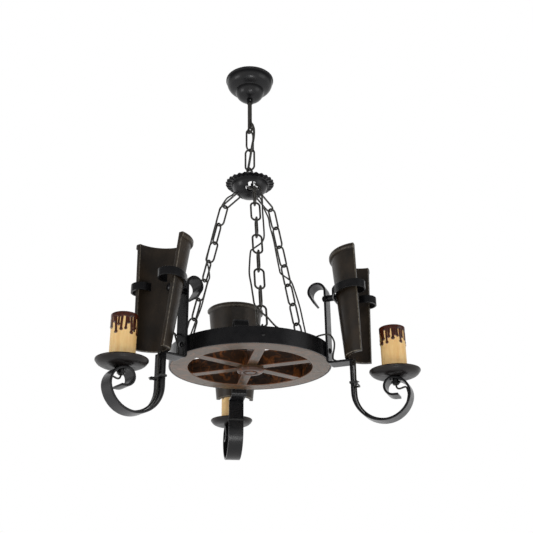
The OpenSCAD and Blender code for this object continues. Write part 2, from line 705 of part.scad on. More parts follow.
// Down the scroll's hollow side and up into the lampholder's nipple
lay = bar_t / 2 + cable_d / 2 + 0.4;
function on_scroll(c, r, a) = [c[0] + (r - lay) * cos(a), 0, c[1] + (r - lay) * sin(a)];
SCROLL_RUN = concat(
    [[shelf_end - 22, 0, -shelf_drop + lay], [shelf_end - 8, 0, -shelf_drop + lay],
     [leg_r + 1.2, 0, -shelf_drop + lay], [leg_r + 4.4, 0, -shelf_drop + 3.2],
     [leg_r + lay + 0.5, 0, -shelf_drop - 4], [leg_r + lay, 0, leg_end + 26]],
    [for (a = [180 : 15 : 255]) on_scroll(c1, scroll_r1, a)],
    [for (a = [270 : 15 : 330]) on_scroll(c2, scroll_r2, a)],
    [for (a = [352, 12, 32]) on_scroll(c3, scroll_r3 - 1, a)],
    [[pan_r + 6.5, 0, nipple_end - 7], [pan_r + 1.8, 0, nipple_end - 5.4], [pan_r, 0, nipple_end + 0.5],
     [pan_r, 0, nipple_end + 8]]);

function cable_route(k) = let (a = CHAIN_AT[k], b = a + 60) concat(
    [for (p = START[k]) p],
    [for (p = OUT) around(a, [p[0], p[1], hook_low + p[2]])],
    [for (p = CABLE_CHAIN) around(a, down_chain(p))],
    [for (p = CABLE_RIM) polar(a, p)],
    [for (p = CABLE_ARM) around(b, [strap_r + p[0], p[1], band_h + p[2]])],
    [for (p = SCROLL_RUN) around(b, p)]);

module cable(k) { color(flex_grey) on_wheel() cord(smooth(cable_route(k), 1), cable_d, [0, 0, 1]); }
module cable_back() { cable(0); }
module cable_left() { cable(1); }
module cable_right() { cable(2); }

module strap_back() { strap(0); }
module strap_left() { strap(1); }
module strap_right() { strap(2); }
module scroll_back() { scroll(0); }
module scroll_left() { scroll(1); }
module scroll_right() { scroll(2); }
module clamp_back() { clamp_band(0); }
module clamp_left() { clamp_band(1); }
module clamp_right() { clamp_band(2); }
module tile_back() { tile(0); }
module tile_left() { tile(1); }
module tile_right() { tile(2); }
module pan_back() { pan(0); }
module pan_left() { pan(1); }
module pan_right() { pan(2); }
module lampholder_back() { lampholder(0); }
module lampholder_left() { lampholder(1); }
module lampholder_right() { lampholder(2); }
module candle_back() { candle(0); }
module candle_left() { candle(1); }
module candle_right() { candle(2); }

ceiling_bracket();
stem();
stem_nuts();
terminal_block();
terminal_screws();
canopy();
canopy_collar();
collar_screw();
top_link_1();
top_link_2();
top_link_3();
crown();
crown_hanger();
splice_block();
chain_right();
chain_left();
chain_near();
wheel_band();
wheel_rim();
spoke_1();
spoke_2();
spoke_3();
spoke_4();
spoke_5();
spoke_6();
hub();
chain_eyes();
band_rivets();
strap_screws();
clamp_bolts();
clamp_spacers();
clamp_nuts();
pan_nuts();
cable_ties();
mains_lead();
cable_back();
cable_left();
cable_right();
strap_back();
scroll_back();
clamp_back();
tile_back();
pan_back();
lampholder_back();
candle_back();
strap_left();
scroll_left();
clamp_left();
tile_left();
pan_left();
lampholder_left();
candle_left();
strap_right();
scroll_right();
clamp_right();
tile_right();
pan_right();
lampholder_right();
candle_right();
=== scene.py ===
import math

import bpy
import numpy as np
from mathutils import Matrix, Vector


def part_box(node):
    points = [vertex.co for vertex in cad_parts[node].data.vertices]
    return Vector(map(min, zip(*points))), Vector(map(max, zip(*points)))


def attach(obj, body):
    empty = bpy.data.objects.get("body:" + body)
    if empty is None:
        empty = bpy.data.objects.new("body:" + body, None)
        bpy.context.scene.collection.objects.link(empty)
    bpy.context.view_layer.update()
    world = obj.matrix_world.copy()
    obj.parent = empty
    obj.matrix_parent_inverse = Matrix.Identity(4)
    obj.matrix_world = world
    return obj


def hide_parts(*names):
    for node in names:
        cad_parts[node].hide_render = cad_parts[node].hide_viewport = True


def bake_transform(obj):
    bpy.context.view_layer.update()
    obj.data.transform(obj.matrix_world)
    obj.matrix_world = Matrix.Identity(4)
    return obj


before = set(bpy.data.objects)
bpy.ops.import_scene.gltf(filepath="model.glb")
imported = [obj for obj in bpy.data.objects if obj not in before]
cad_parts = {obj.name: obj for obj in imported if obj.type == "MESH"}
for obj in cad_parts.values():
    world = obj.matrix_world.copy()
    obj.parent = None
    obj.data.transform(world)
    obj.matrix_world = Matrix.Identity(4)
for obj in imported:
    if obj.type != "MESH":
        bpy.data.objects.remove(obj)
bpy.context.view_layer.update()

# ---- Camera ----
# It looks up at the hanging light from in front and a little to the left, as the photograph does.
# Lengths in this file are in millimetres, and heights in the lower light count from the wheel's underside.
wheel_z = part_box("wheel_rim")[0].z * 1000
yaw, pitch, roll = 0.1710, 0.4167, -0.0107
stand = np.array([-212.4, -1418.7, -429.3 + wheel_z]) / 1000
forward = np.array([math.sin(yaw) * math.cos(pitch), math.cos(yaw) * math.cos(pitch), math.sin(pitch)])
level = np.array([math.cos(yaw), -math.sin(yaw), 0.0])
upward = np.cross(level, forward)
sideways = math.cos(roll) * level + math.sin(roll) * upward
overhead = -math.sin(roll) * level + math.cos(roll) * upward


def add(name, data):
    """Puts new data into the scene as an object."""
    thing = bpy.data.objects.new(name, data)
    bpy.context.scene.collection.objects.link(thing)
    return thing


def aim(thing, across, up, back, at):
    """Turns an object so that its X, Y and Z axes lie along three directions, and moves it to a place."""
    thing.matrix_world = Matrix([[*row] for row in np.stack([across, up, back, at], 1)] + [[0, 0, 0, 1]])


lens = bpy.data.cameras.new("camera")
lens.sensor_width = 36
lens.lens = 54.33
lens.clip_end = 100
camera = add("camera", lens)
aim(camera, sideways, overhead, -forward, stand)
bpy.context.scene.camera = camera


# ---- Mains lead and light cables ----
# Round dark PVC flex. The 5 mm lead runs from the terminal block, down the tube stem and through the upper
# chain to the splice in the crown. From there a 3.2 mm cable follows a chain and an arm to each light.
def flowing(route, steps):
    """Smooth curve through a route: between points b and c it is
    1/2 (2b + (c-a)t + (2a-5b+4c-d)t^2 + (3b-a-3c+d)t^3), a and d being the points on either side."""
    p = np.asarray(route, float)
    p = np.vstack([2 * p[0] - p[1], p, 2 * p[-1] - p[-2]])
    t = np.linspace(0, 1, steps, endpoint=False)[None, :, None]
    a, b, c, d = (p[i:len(p) - 3 + i, None] for i in range(4))
    q = (2 * b + (c - a) * t + (2 * a - 5 * b + 4 * c - d) * t ** 2 + (3 * b - a - 3 * c + d) * t ** 3) / 2
    return np.vstack([q.reshape(-1, 3), p[-2]])


def sheath(line, radius, sides=16):
    """Round tube on a line. A ring's point is line + radius (cos a U + sin a V), where U is carried from
    ring to ring with as little turn as possible and V is square to it and to the line."""
    way = np.gradient(line, axis=0)
    way /= np.linalg.norm(way, axis=1)[:, None]
    u = [np.cross(way[0], [0.3, 0.9, 0.1])]
    for w in way:
        across = u[-1] - (u[-1] @ w) * w
        u.append(across / np.linalg.norm(across))
    u = np.array(u[1:])
    a = np.linspace(0, 2 * np.pi, sides, endpoint=False)[None, :, None]
    radius = np.reshape(radius, (-1, 1, 1))
    return line[:, None] + radius * (np.cos(a) * u[:, None] + np.sin(a) * np.cross(way, u)[:, None])


def skin(name, grids, ring=False, sharp=38, **marks):
    """Mesh over grids of points whose rows are closed loops. Each row joins the next. The last joins the
    first (ring), or the two ends get flat lids. Marks become point attributes. Faces are turned outwards:
    a grid whose summed volume is negative has its faces reversed."""
    points, faces, start = [], [], 0
    for grid in grids:
        rows, cols = grid.shape[:2]
        i, j = np.meshgrid(np.arange(rows - (not ring)), np.arange(cols), indexing="ij")
        k, m = (i + 1) % rows, (j + 1) % cols
        quads = np.stack([i * cols + j, i * cols + m, k * cols + m, k * cols + j], -1).reshape(-1, 4)
        fan = np.stack([np.zeros(cols - 2, int), np.arange(2, cols), np.arange(1, cols - 1)], 1)
        ends = [] if ring else [fan, (fan + (rows - 1) * cols)[:, ::-1]]
        corner = grid.reshape(-1, 3)[np.vstack([quads[:, :3], quads[:, [0, 2, 3]], *ends])]
        inside_out = np.einsum("ij,ij->", corner[:, 0], np.cross(corner[:, 1], corner[:, 2])) < 0
        loops = quads.tolist()
        if not ring:
            loops += [np.arange(cols)[::-1].tolist(), np.arange((rows - 1) * cols, rows * cols).tolist()]
        faces += [[start + n for n in (loop[::-1] if inside_out else loop)] for loop in loops]
        points.append(grid.reshape(-1, 3) / 1000)
        start += rows * cols
    mesh = bpy.data.meshes.new(name)
    mesh.from_pydata(np.vstack(points).tolist(), [], faces)
    for mark, values in marks.items():
        values = np.concatenate([np.reshape(v, (-1, 3) if np.ndim(v) == 3 else -1) for v in values])
        if values.ndim == 2:
            mesh.attributes.new(mark, "FLOAT_VECTOR", "POINT").data.foreach_set("vector", values.ravel() / 1000)
        else:
            mesh.attributes.new(mark, "FLOAT", "POINT").data.foreach_set("value", values)
    mesh.polygons.foreach_set("use_smooth", np.ones(len(mesh.polygons), bool))
    mesh.set_sharp_from_angle(angle=math.radians(sharp))
    return add(name, mesh)


def place(tree, kind, inputs=(), **settings):
    """Adds a node. Inputs map a socket's name or number to a value or to another node's output."""
    node = tree.nodes.new(kind)
    for key, value in settings.items():
        setattr(node, key, value)
    for key, value in dict(inputs).items():
        if isinstance(value, bpy.types.NodeSocket):
            tree.links.new(value, node.inputs[key])
        else:
            node.inputs[key].default_value = value
    return node


def tint(r, g, b):
    """Screen colour 0 to 255 as linear light: ((c + 0.055) / 1.055) ^ 2.4, or c / 12.92 when dark."""
    c = np.array([r, g, b]) / 255
    return (*np.where(c > 0.04045, ((c + 0.055) / 1.055) ** 2.4, c / 12.92).tolist(), 1.0)


def between(tree, share, low, high):
    """Mixes two colours by a share of 0 to 1."""
    return place(tree, "ShaderNodeMix", {0: share, 6: low, 7: high}, data_type="RGBA").outputs[2]


def ranged(tree, value, low, high, to_low=0.0, to_high=1.0):
    """Stretches a value from one range to another, held at its ends."""
    return place(tree, "ShaderNodeMapRange", {"Value": value, "From Min": low, "From Max": high,
                                              "To Min": to_low, "To Max": to_high}).outputs[0]


def noise(tree, where, scale, detail=3.0, roughness=0.5, distortion=0.0):
    """Soft noise of 0 to 1, scale being in blotches a metre."""
    return place(tree, "ShaderNodeTexNoise", {"Vector": where, "Scale": scale, "Detail": detail,
                                              "Roughness": roughness, "Distortion": distortion}).outputs[0]


def finish(name, **sockets):
    """New material with one Principled shader, whose constant sockets are set straight on it."""
    material = bpy.data.materials.new(name)
    material.use_nodes = True
    tree = material.node_tree
    shader = tree.nodes["Principled BSDF"]
    for key, value in sockets.items():
        shader.inputs[key.replace("_", " ")].default_value = value
    spot = tree.nodes.new("ShaderNodeTexCoord").outputs["Object"]
    return material, tree, shader, spot


def relief(tree, shader, height, depth, strength=1.0):
    """Feeds a height of 0 to 1 into the shader's normal, depth in metres."""
    bump = place(tree, "ShaderNodeBump", {"Height": height, "Distance": depth, "Strength": strength})
    tree.links.new(bump.outputs[0], shader.inputs["Normal"])


def feed(tree, shader, **sockets):
    """Links outputs to the shader's sockets."""
    for key, value in sockets.items():
        tree.links.new(value, shader.inputs[key.replace("_", " ")])


def fit(piece, coat, slot, body, *nodes):
    """Gives a finished piece its coat and the body that it rides on, and hides the CAD nodes that it stands
    for.
    The record's slot is not used."""
    piece.data.materials.append(coat)
    if body:
        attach(piece, body)
    if nodes:
        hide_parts(*nodes)
    return piece


def recoat(coat, *nodes):
    """Gives CAD nodes, whose shape is right, their material."""
    for node in nodes:
        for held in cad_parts[node].material_slots:
            held.material = coat


def dark_flex():
    """Soft PVC: dark warm grey, rubbed paler in places, with a faint unevenness from the extruder."""
    material, tree, shader, spot = finish("dark_flex")
    rubbed = noise(tree, spot, 45, 4)
    shade = between(tree, ranged(tree, rubbed, 0.35, 0.7), tint(38, 37, 33), tint(56, 54, 49))
    feed(tree, shader, Base_Color=shade, Roughness=ranged(tree, rubbed, 0.3, 0.7, 0.24, 0.4))
    relief(tree, shader, noise(tree, spot, 700, 2), 0.00012)
    return material


flex = dark_flex()
wheel_r, rim_r, band_h = 150.0, 147.0, 30.0
chain_at = {"right": 30, "left": 150, "near": 270}
arm_at = {"back": 90, "left": 210, "right": 330}
chain_pitch, chain_wire, run_links = 40.65, 3.8, 8
eye_r, eye_top, crown_r, first_slope = rim_r - 8, 34.0, 22.0, math.radians(35)
foot_r = crown_r + (chain_pitch + chain_wire / 2) * math.cos(first_slope)
knee_r = foot_r - chain_wire / 2 * (eye_r - foot_r) / (run_links * chain_pitch)
lean = math.asin((eye_r - knee_r) / (run_links * chain_pitch))
knee_z = eye_top + run_links * chain_pitch * math.cos(lean)
hang_z = knee_z - chain_wire / 2 * math.cos(lean) + (chain_pitch + chain_wire / 2) * math.sin(first_slope)
hook_low = hang_z + 3.75 * math.sin(first_slope) - 6
crown_z = hook_low + 20.9
strap_r, leg_r, shelf_drop = 152.15, 194.15, 10.2
splice_z = crown_z - 15.5
lead_radius, cable_radius, bar_t, bar_w = 2.5, 1.6, 4.0, 30.0

lead_route = [(14, 0, -26.5), (14, 0, -34), (11.8, 0, -38.4), (6.5, 0, -43.2), (2, 0, -48.5), (0.3, 0, -55),
              (0, 0, -66), (0, 0, -92), (0.3, -0.4, -101), (2.2, -3.1, -110), (5.2, -7.4, -119),
              (7.4, -9.4, -132), (6.8, -8.8, -150), (3.4, -8.4, -171), (1.6, -4.4, -185), (0, -0.4, -198),
              (-1.6, 3.8, -210), (-3.4, 7.4, -223), (-4.6, 12, -240), (-3, 17, -250),
              (-0.8, 20.2, wheel_z + splice_z + 16), (0, 21, wheel_z + splice_z + 8.6)]
lead_rings = sheath(flowing(lead_route, 8), lead_radius, 20)
ring_z, cut_z = lead_rings[:, :, 2].mean(1), (-154, -199, -245)
cuts = [0, *(int(np.argmax(ring_z < z)) for z in cut_z), len(ring_z) - 1]
contacts = [("ceiling_mount", "link_1", -0.13325), ("link_1", "link_2", -0.1785), ("link_2", "link_3", -0.224),
            ("link_3", "wheel_assembly", -0.2695)]
for n, (above, below, contact) in enumerate(contacts):
    part = skin(f"lead_{n + 1}", [lead_rings[cuts[n]:cuts[n + 1] + 1]])
    fit(part, flex, "dark_cable", None, *(["mains_lead"] if n == 0 else []))
    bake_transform(part)

from_splice = {"right": [(7.8, 18.5, 4), (12, 18, 4.4)],
               "left": [(-7.8, 21, 4), (-12, 22, 5), (-22, 20, 6), (-25, 12, 6.5)],
               "near": [(7.8, 23.5, 5), (13, 24, 6.4), (23, 20, 9.5), (30, 4, 9), (22, -13, 8)]}
out_of_crown = [(22.5, 7, 12.6), (29, 6.4, 7.6), (36, 7.4, 0.6), (46, 13.4, -9.4)]
down_chain = [(0.295, 13.6, 0), (0.738, 14.6, 0), (1.476, 13.6, 1), (2.46, 14, 0), (3.05, 13.4, -1),
              (3.296, 9, -4.8), (3.518, 0, -5.4), (3.739, -9, -4.8), (3.961, -13.4, -1.5), (4.674, -16.5, 0),
              (5.289, -18, 1), (5.904, -16, 3), (6.593, -14, 4.8), (6.986, -12.5, 5.6), (7.257, -7, 5.6),
              (7.454, 1, 5.6), (7.651, 10, 4.6)]
round_rim = [(6.8, -7, 9.5), (11, -10.5, 3.4), (16, -12, 1.4), (26, -12.5, 1.2), (36, -12, 1.2), (46, -10, 3),
             (50, -4, 7.5), (52, 3.5, 9.6)]
down_strap = [(6.85, -16, 9.6), (9.85, -10, 6), (11.45, -4, -1.5), (9.85, -1, -12), (6.85, 0, -24),
              (7.85, 0, -32)]
bulge_u, bulge_v, coil_at = leg_r + 51.5, -71.7, math.radians(345)
coil_u, coil_v = bulge_u + 20 * math.cos(coil_at), bulge_v + 20 * math.sin(coil_at)
bends = [((bulge_u, bulge_v + 3.5), 51.5), ((bulge_u, bulge_v), 48.0), ((coil_u, coil_v), 28.0),
         ((coil_u, coil_v + 13), 15.0)]
pan_r, pan_z = coil_u + 3, coil_v + 28 + 2.15
nipple_low = pan_z - 13
lay = bar_t / 2 + cable_radius + 0.4


def inside_bend(n, degrees, spare=0.0):
    """Points on a scroll's hollow side, lay and a spare gap in from its centreline:
    centre + (r - spare - lay)(cos a, sin a)."""
    (u, v), r = bends[n]
    a = np.radians(degrees)
    return np.stack([u + (r - spare - lay) * np.cos(a), 0 * a, v + (r - spare - lay) * np.sin(a)], 1)


down_scroll = np.vstack([
    [(170, 0, lay - shelf_drop), (184, 0, lay - shelf_drop), (leg_r + 1.2, 0, lay - shelf_drop),
     (leg_r + 4.4, 0, 3.2 - shelf_drop), (leg_r + lay + 0.5, 0, -shelf_drop - 4), (leg_r + lay, 0, -42.2)],
    inside_bend(0, np.arange(180, 256, 15)), inside_bend(1, np.arange(270, 331, 15)),
    inside_bend(2, np.array([352, 12, 32]), 1),
    [(pan_r + 6.5, 0, nipple_low - 7), (pan_r + 1.8, 0, nipple_low - 5.4), (pan_r, 0, nipple_low + 0.5),
     (pan_r, 0, nipple_low + 8)]])


def swung(points, degrees):
    """Points turned about the wheel's axis and moved down to the wheel's height."""
    p, a = np.asarray(points, float), math.radians(degrees)
    x, y = p[..., 0] * math.cos(a) - p[..., 1] * math.sin(a), p[..., 0] * math.sin(a) + p[..., 1] * math.cos(a)
    return np.stack([x, y, p[..., 2] + wheel_z], -1)


for (side, bearing), arm in zip(chain_at.items(), ("back", "left", "right")):
    links, aside, out = np.array(down_chain).T
    reach = links * chain_pitch
    chain_run = np.stack([knee_r + reach * math.sin(lean) + out * math.cos(lean), aside,
                          knee_z - reach * math.cos(lean) + out * math.sin(lean)], 1)
    turn, out, up = np.array(round_rim).T
    turn = np.radians(turn)
    rim_run = np.stack([(wheel_r + out) * np.cos(turn), (wheel_r + out) * np.sin(turn), band_h + up], 1)
    route = np.vstack([swung(np.array(from_splice[side]) + [0, 0, splice_z], 0),
                       swung(np.array(out_of_crown) + [0, 0, hook_low], bearing), swung(chain_run, bearing),
                       swung(rim_run, bearing),
                       swung(np.array(down_strap) + [strap_r, 0, band_h], bearing + 60),
                       swung(down_scroll, bearing + 60)])
    cable = skin(f"light_cable_{arm}", [sheath(flowing(route, 5), cable_radius, 14)])
    fit(cable, flex, "dark_cable", "wheel_assembly", f"cable_{arm}")


# ---- Ceiling bracket, stem nuts and terminal block ----
# Hidden in the canopy: a zinc-plated strip steel bracket with two feet, brass nuts that hold the threaded
# top of the stem, and a two-way terminal block of white nylon with brass screws.
def plated(name, low, high, shine):
    """Plated metal: a little cloudy, with rubbed spots."""
    material, tree, shader, spot = finish(name, Metallic=1.0)
    cloud = noise(tree, spot, 130, 5)
    feed(tree, shader, Base_Color=between(tree, ranged(tree, cloud, 0.35, 0.65), low, high),
         Roughness=ranged(tree, cloud, 0.3, 0.7, shine, shine + 0.2))
    relief(tree, shader, noise(tree, spot, 900, 2), 0.00005)
    return material


zinc = plated("zinc_plate", tint(150, 152, 150), tint(196, 198, 194), 0.28)
brass = plated("turned_brass", tint(170, 140, 72), tint(212, 184, 108), 0.22)
recoat(zinc, "ceiling_bracket")
recoat(brass, "stem_nuts", "terminal_screws")
nylon, tree, shader, spot = finish("white_nylon", Subsurface_Weight=0.1, Subsurface_Scale=0.002)
cloud = noise(tree, spot, 90)
shade = between(tree, ranged(tree, cloud, 0.3, 0.7), tint(226, 223, 212), tint(238, 236, 228))
feed(tree, shader, Base_Color=shade, Roughness=ranged(tree, cloud, 0.3, 0.7, 0.35, 0.5))
recoat(nylon, "terminal_block")


# ---- Canopy, stem and upper chain ----
# Spun sheet steel canopy with a rolled rim, a stepped shoulder and a domed neck, over a tube stem with a
# welded eye. Three wire links hang from it. All are in the light's near-black satin lacquer.
def speckled_group():
    """Small pale flecks, such as dust in lacquer: spots of noise above a threshold that Amount lowers."""
    group = bpy.data.node_groups.new("flecks", "ShaderNodeTree")
    group.interface.new_socket("Vector", in_out="INPUT", socket_type="NodeSocketVector")
    group.interface.new_socket("Scale", in_out="INPUT", socket_type="NodeSocketFloat")
    group.interface.new_socket("Amount", in_out="INPUT", socket_type="NodeSocketFloat")
    group.interface.new_socket("Mask", in_out="OUTPUT", socket_type="NodeSocketFloat")
    given, out = group.nodes.new("NodeGroupInput"), group.nodes.new("NodeGroupOutput")
    cells = place(group, "ShaderNodeTexVoronoi", {"Vector": given.outputs[0], "Scale": given.outputs[1]})
    patches = ranged(group, noise(group, given.outputs[0], 40, 2), 0.5, 0.75)
    reach = place(group, "ShaderNodeMath", {0: given.outputs[2], 1: patches}, operation="MULTIPLY")
    spots = place(group, "ShaderNodeMath", {0: reach.outputs[0], 1: cells.outputs["Distance"]},
                  operation="SUBTRACT")
    group.links.new(ranged(group, spots.outputs[0], 0.0, 0.08), out.inputs[0])
    return group


flecks = speckled_group()


def fleck_mask(tree, spot, scale, amount):
    """The flecks group, placed in a material."""
    node = place(tree, "ShaderNodeGroup", node_tree=flecks)
    tree.links.new(spot, node.inputs[0])
    node.inputs[1].default_value, node.inputs[2].default_value = scale, amount
    return node.outputs[0]


def lacquer(name, base, warm, sheen_low=0.3, sheen_high=0.46, edge=None, lift=0.5):
    """Black iron: brushed lacquer over hot-rolled bar. It has soft brush streaks and low dents in the metal,
    a few small flecks and, if given an edge colour, a rubbed line where a mark says that there is an edge."""
    material, tree, shader, spot = finish(name, Specular_IOR_Level=lift)
    dents, streaks = noise(tree, spot, 42, 1), noise(tree, spot, 120, 2, 0.4)
    shade = between(tree, ranged(tree, dents, 0.4, 0.75), base, warm)
    if edge:
        edge_mark = place(tree, "ShaderNodeAttribute", attribute_name="edge").outputs["Fac"]
        patchy = place(tree, "ShaderNodeMath", {0: edge_mark, 1: ranged(tree, streaks, 0.45, 0.62)},
                       operation="MULTIPLY")
        shade = between(tree, patchy.outputs[0], shade, edge)
    shade = between(tree, fleck_mask(tree, spot, 300, 0.16), shade, tint(70, 68, 66))
    feed(tree, shader, Base_Color=shade, Roughness=ranged(tree, streaks, 0.3, 0.7, sheen_low, sheen_high))
    relief(tree, shader, dents, 0.0005, 0.3)
    return material


iron = lacquer("black_lacquer", tint(11, 11, 13), tint(20, 19, 20), 0.24, 0.32, lift=0.34)
wire_iron = lacquer("chain_lacquer", tint(42, 40, 36), tint(58, 56, 50), 0.2, 0.32)
stem_iron = lacquer("stem_lacquer", tint(50, 48, 45), tint(66, 64, 60), 0.4, 0.55, lift=0.3)


def eased(corners, radius, steps=3, guard=0.8):
    """Closed outline whose corners are eased: corner C becomes (1-t)^2 A + 2t(1-t)C + t^2 B between the points
    A and B that lie radius away on its two sides, with a guard point past each. A radius of 0 leaves a plain
    point. Returns the outline and its edge mark, 1 on the eased corners."""
    c = np.asarray(corners, float)
    r = np.broadcast_to(np.asarray(radius, float), len(c))[:, None]
    back, on = np.roll(c, 1, 0) - c, np.roll(c, -1, 0) - c
    far_back, far_on = (np.linalg.norm(s, axis=1)[:, None] for s in (back, on))
    a, b = c + back / far_back * np.minimum(r, 0.4 * far_back), c + on / far_on * np.minimum(r, 0.4 * far_on)
    before = c + back / far_back * np.minimum(r + guard, 0.47 * far_back)
    after = c + on / far_on * np.minimum(r + guard, 0.47 * far_on)
    t = np.linspace(0, 1, steps + 1)[None, :, None]
    curve = (1 - t) ** 2 * a[:, None] + 2 * t * (1 - t) * c[:, None] + t * t * b[:, None]
    outline = np.concatenate([before[:, None], curve, after[:, None]], 1)
    mark = np.ones(outline.shape[:2]) * (r > 0)
    mark[:, [0, -1]] = 0
    keep = np.broadcast_to(r > 0, mark.shape).copy()
    keep[:, 1] = True
    return outline[keep], mark[keep]


def spun(outline, sides=144):
    """Outline of [radius, height] turned about the Z axis: (r cos a, r sin a, z)."""
    a = np.linspace(0, 2 * np.pi, sides, endpoint=False)[None]
    r, z = outline[:, :1], outline[:, 1:]
    return np.stack([r * np.cos(a), r * np.sin(a), z + 0 * a], -1)


def arc(u, v, ru, rv, first, last, count):
    """Points of an ellipse's arc, angles in degrees."""
    a = np.radians(np.linspace(first, last, count))
    return np.stack([u + ru * np.cos(a), v + rv * np.sin(a)], 1)


bell_outside = [[(51, 0), (51, -1.5)], arc(49.3, -1.8, 1.7, 1.5, -8, -80, 4), [(49.1, -4.4)],
                arc(30.5, -5, 18.5, 20.6, -3, -68, 15),
                [(35.6, -25.1), (33.8, -25.9), (32.2, -26.8), (30.6, -28)],
                arc(6.5, -28, 24, 23, -4, -74, 16), [(10, -51), (5.1, -51)]]
bell_inside = [[(5.1, -49.6), (9, -49.5)], arc(6.5, -28, 22.6, 21.6, -72, -2, 14), [(30, -26.6), (33.4, -24.5)],
               arc(30.5, -5, 17.1, 19.2, -68, -3, 13), [(47.6, -3), (49.5, -1.6), (49.5, 0)]]
bell = np.vstack(bell_outside + bell_inside)
radii = np.zeros(len(bell))
radii[[0, -1]] = 0.3
bell_line, _ = eased(bell, radii)
canopy = skin("spun_canopy", [spun(bell_line)], ring=True)
fit(canopy, iron, "black_iron", "canopy_body", "canopy")
recoat(iron, "canopy_collar", "crown_hanger")
recoat(stem_iron, "stem")
recoat(wire_iron, "top_link_1", "top_link_2", "top_link_3")
recoat(zinc, "collar_screw")


# ---- Crown ----
# A pressed bowl of sheet iron whose flange is crimped into 26 flutes. Three punched holes let the bridle
# chains and the cables out.
def crimped_bowl():
    """The bowl's outline turned about Z, with its flange fluted by F, which rises from 0 at radius 36.9 to 1
    at 41.9: ((r + 0.6 F cos 26a) cos a, (r + 0.6 F cos 26a) sin a, z + 0.9 F cos 26a)."""
    flutes = 26
    a = np.linspace(0, 2 * np.pi, flutes * 14, endpoint=False)[None]
    under = np.vstack([[(1, -29.6), (6, -29.7)], arc(0, 0, 36.5, 30, -80, -6, 24),
                       [(36.8, -0.9), (38.2, 0.1), (40, 0.35), (43, 0.4), (46, 0.4), (48.5, 0.5)]])
    over = np.vstack([[(49.1, 1.2), (48.5, 1.9), (46, 1.8), (43, 1.8), (40, 1.75), (37.8, 1.6), (35.8, 0.9)],
                      arc(0, 0, 35.1, 28.6, -4, -80, 20), [(6, -28.3), (1, -28.2)]])
    line = np.vstack([under, over])
    depth = np.clip((line[:, :1] - 36.9) / 5, 0, 1) ** 1.2
    r = line[:, :1] + depth * 0.6 * np.cos(flutes * a)
    z = line[:, 1:] + depth * 0.9 * np.cos(flutes * a)
    return np.stack([r * np.cos(a), r * np.sin(a), z + crown_z + wheel_z], -1)


def punch(piece, shape):
    """Cuts a shape out of a piece, and takes the shape away."""
    cut = piece.modifiers.new("hole", "BOOLEAN")
    cut.operation, cut.solver, cut.object = "DIFFERENCE", "EXACT", shape
    bpy.context.view_layer.update()
    mesh = bpy.data.meshes.new_from_object(piece.evaluated_get(bpy.context.evaluated_depsgraph_get()))
    piece.modifiers.clear()
    piece.data = mesh
    bpy.data.objects.remove(shape)


crown = skin("crimped_crown", [crimped_bowl()])
outwards = np.array([math.cos(first_slope), 0, -math.sin(first_slope)])
square_up = np.array([math.sin(first_slope), 0, math.cos(first_slope)])
hole_r, hole_from, hole_to = 12.1, 1.5, 35.5
for bearing in chain_at.values():
    along = np.linspace(hole_from, hole_to, 2)[:, None, None] * outwards
    a = np.linspace(0, 2 * np.pi, 40, endpoint=False)[None, :, None]
    ring = hole_r * (np.cos(a) * np.array([0, 1, 0]) + np.sin(a) * square_up)
    punch(crown, skin("punch", [swung(np.array([crown_r, 0, hang_z]) + along + ring, bearing)]))
fit(crown, iron, "black_iron", "wheel_assembly", "crown")


# ---- Bridle chains and their eyes ----
# Nine bent-wire links each, butt-jointed in one leg, from a hook in the crown to a driven wire staple in
# the rim. The first link slopes out through the crown, and the other eight hang in a straight run.
def link(pitch, width, wire):
    """Closed tube on a stadium: two legs joined by half circles, in the XZ plane, hanging from the origin.
    The wire necks in at the butt joint."""
    bend = (width - wire) / 2
    leg = pitch + 0.3 + wire - 2 * bend
    round_ = np.radians(np.linspace(0, 180, 17))
    top = np.stack([bend * np.cos(round_), bend * np.sin(round_)], 1)
    down = np.array([-0.9, -0.35, 0, 0.35, 0.9, 4])[:, None]
    left = np.hstack([0 * down - bend, -leg / 2 - down])
    line = np.vstack([top, [(-bend, -leg / 4)], left, [(-bend, -leg * 0.8)], -top - [0, leg],
                      [(bend, -leg * 0.75), (bend, -leg * 0.5), (bend, -leg * 0.25)]])
    along = np.roll(line, -1, 0) - np.roll(line, 1, 0)
    along /= np.linalg.norm(along, axis=1)[:, None]
    neck = 1 - 0.22 * np.exp(-((line[:, 1] + leg / 2) / 0.3) ** 2) * (line[:, 0] < 0)
    a = np.linspace(0, 2 * np.pi, 18, endpoint=False)[None]
    r = wire / 2 * neck[:, None]
    x = line[:, :1] - along[:, 1:] * r * np.cos(a)
    z = line[:, 1:] + along[:, :1] * r * np.cos(a) + wire / 2 + 0.3 - bend
    return np.stack([x, r * np.sin(a), z], -1)


def hung(grid, at, tilt, twist):
    """A link twisted about its own length, tilted outwards from straight down, and moved to its contact."""
    c, s = math.cos(twist), math.sin(twist)
    x, y, z = grid[..., 0] * c - grid[..., 1] * s, grid[..., 0] * s + grid[..., 1] * c, grid[..., 2]
    c, s = math.cos(tilt), math.sin(tilt)
    return np.stack([x * c - z * s, y, x * s + z * c], -1) + at


link_w = 21.0
one = link(chain_pitch, link_w, chain_wire)
for side, bearing in chain_at.items():
    chain = [hung(one, [crown_r, 0, hang_z], math.pi / 2 - first_slope, math.pi / 2)]
    for n in range(run_links):
        step = n * chain_pitch
        chain.append(hung(one, [knee_r + step * math.sin(lean), 0, knee_z - step * math.cos(lean)], lean,
                          math.pi / 2 * (n % 2)))
    piece = skin(f"bridle_chain_{side}", [swung(grid, bearing) for grid in chain], ring=True)
    fit(piece, wire_iron, "black_iron", "wheel_assembly", f"chain_{side}")

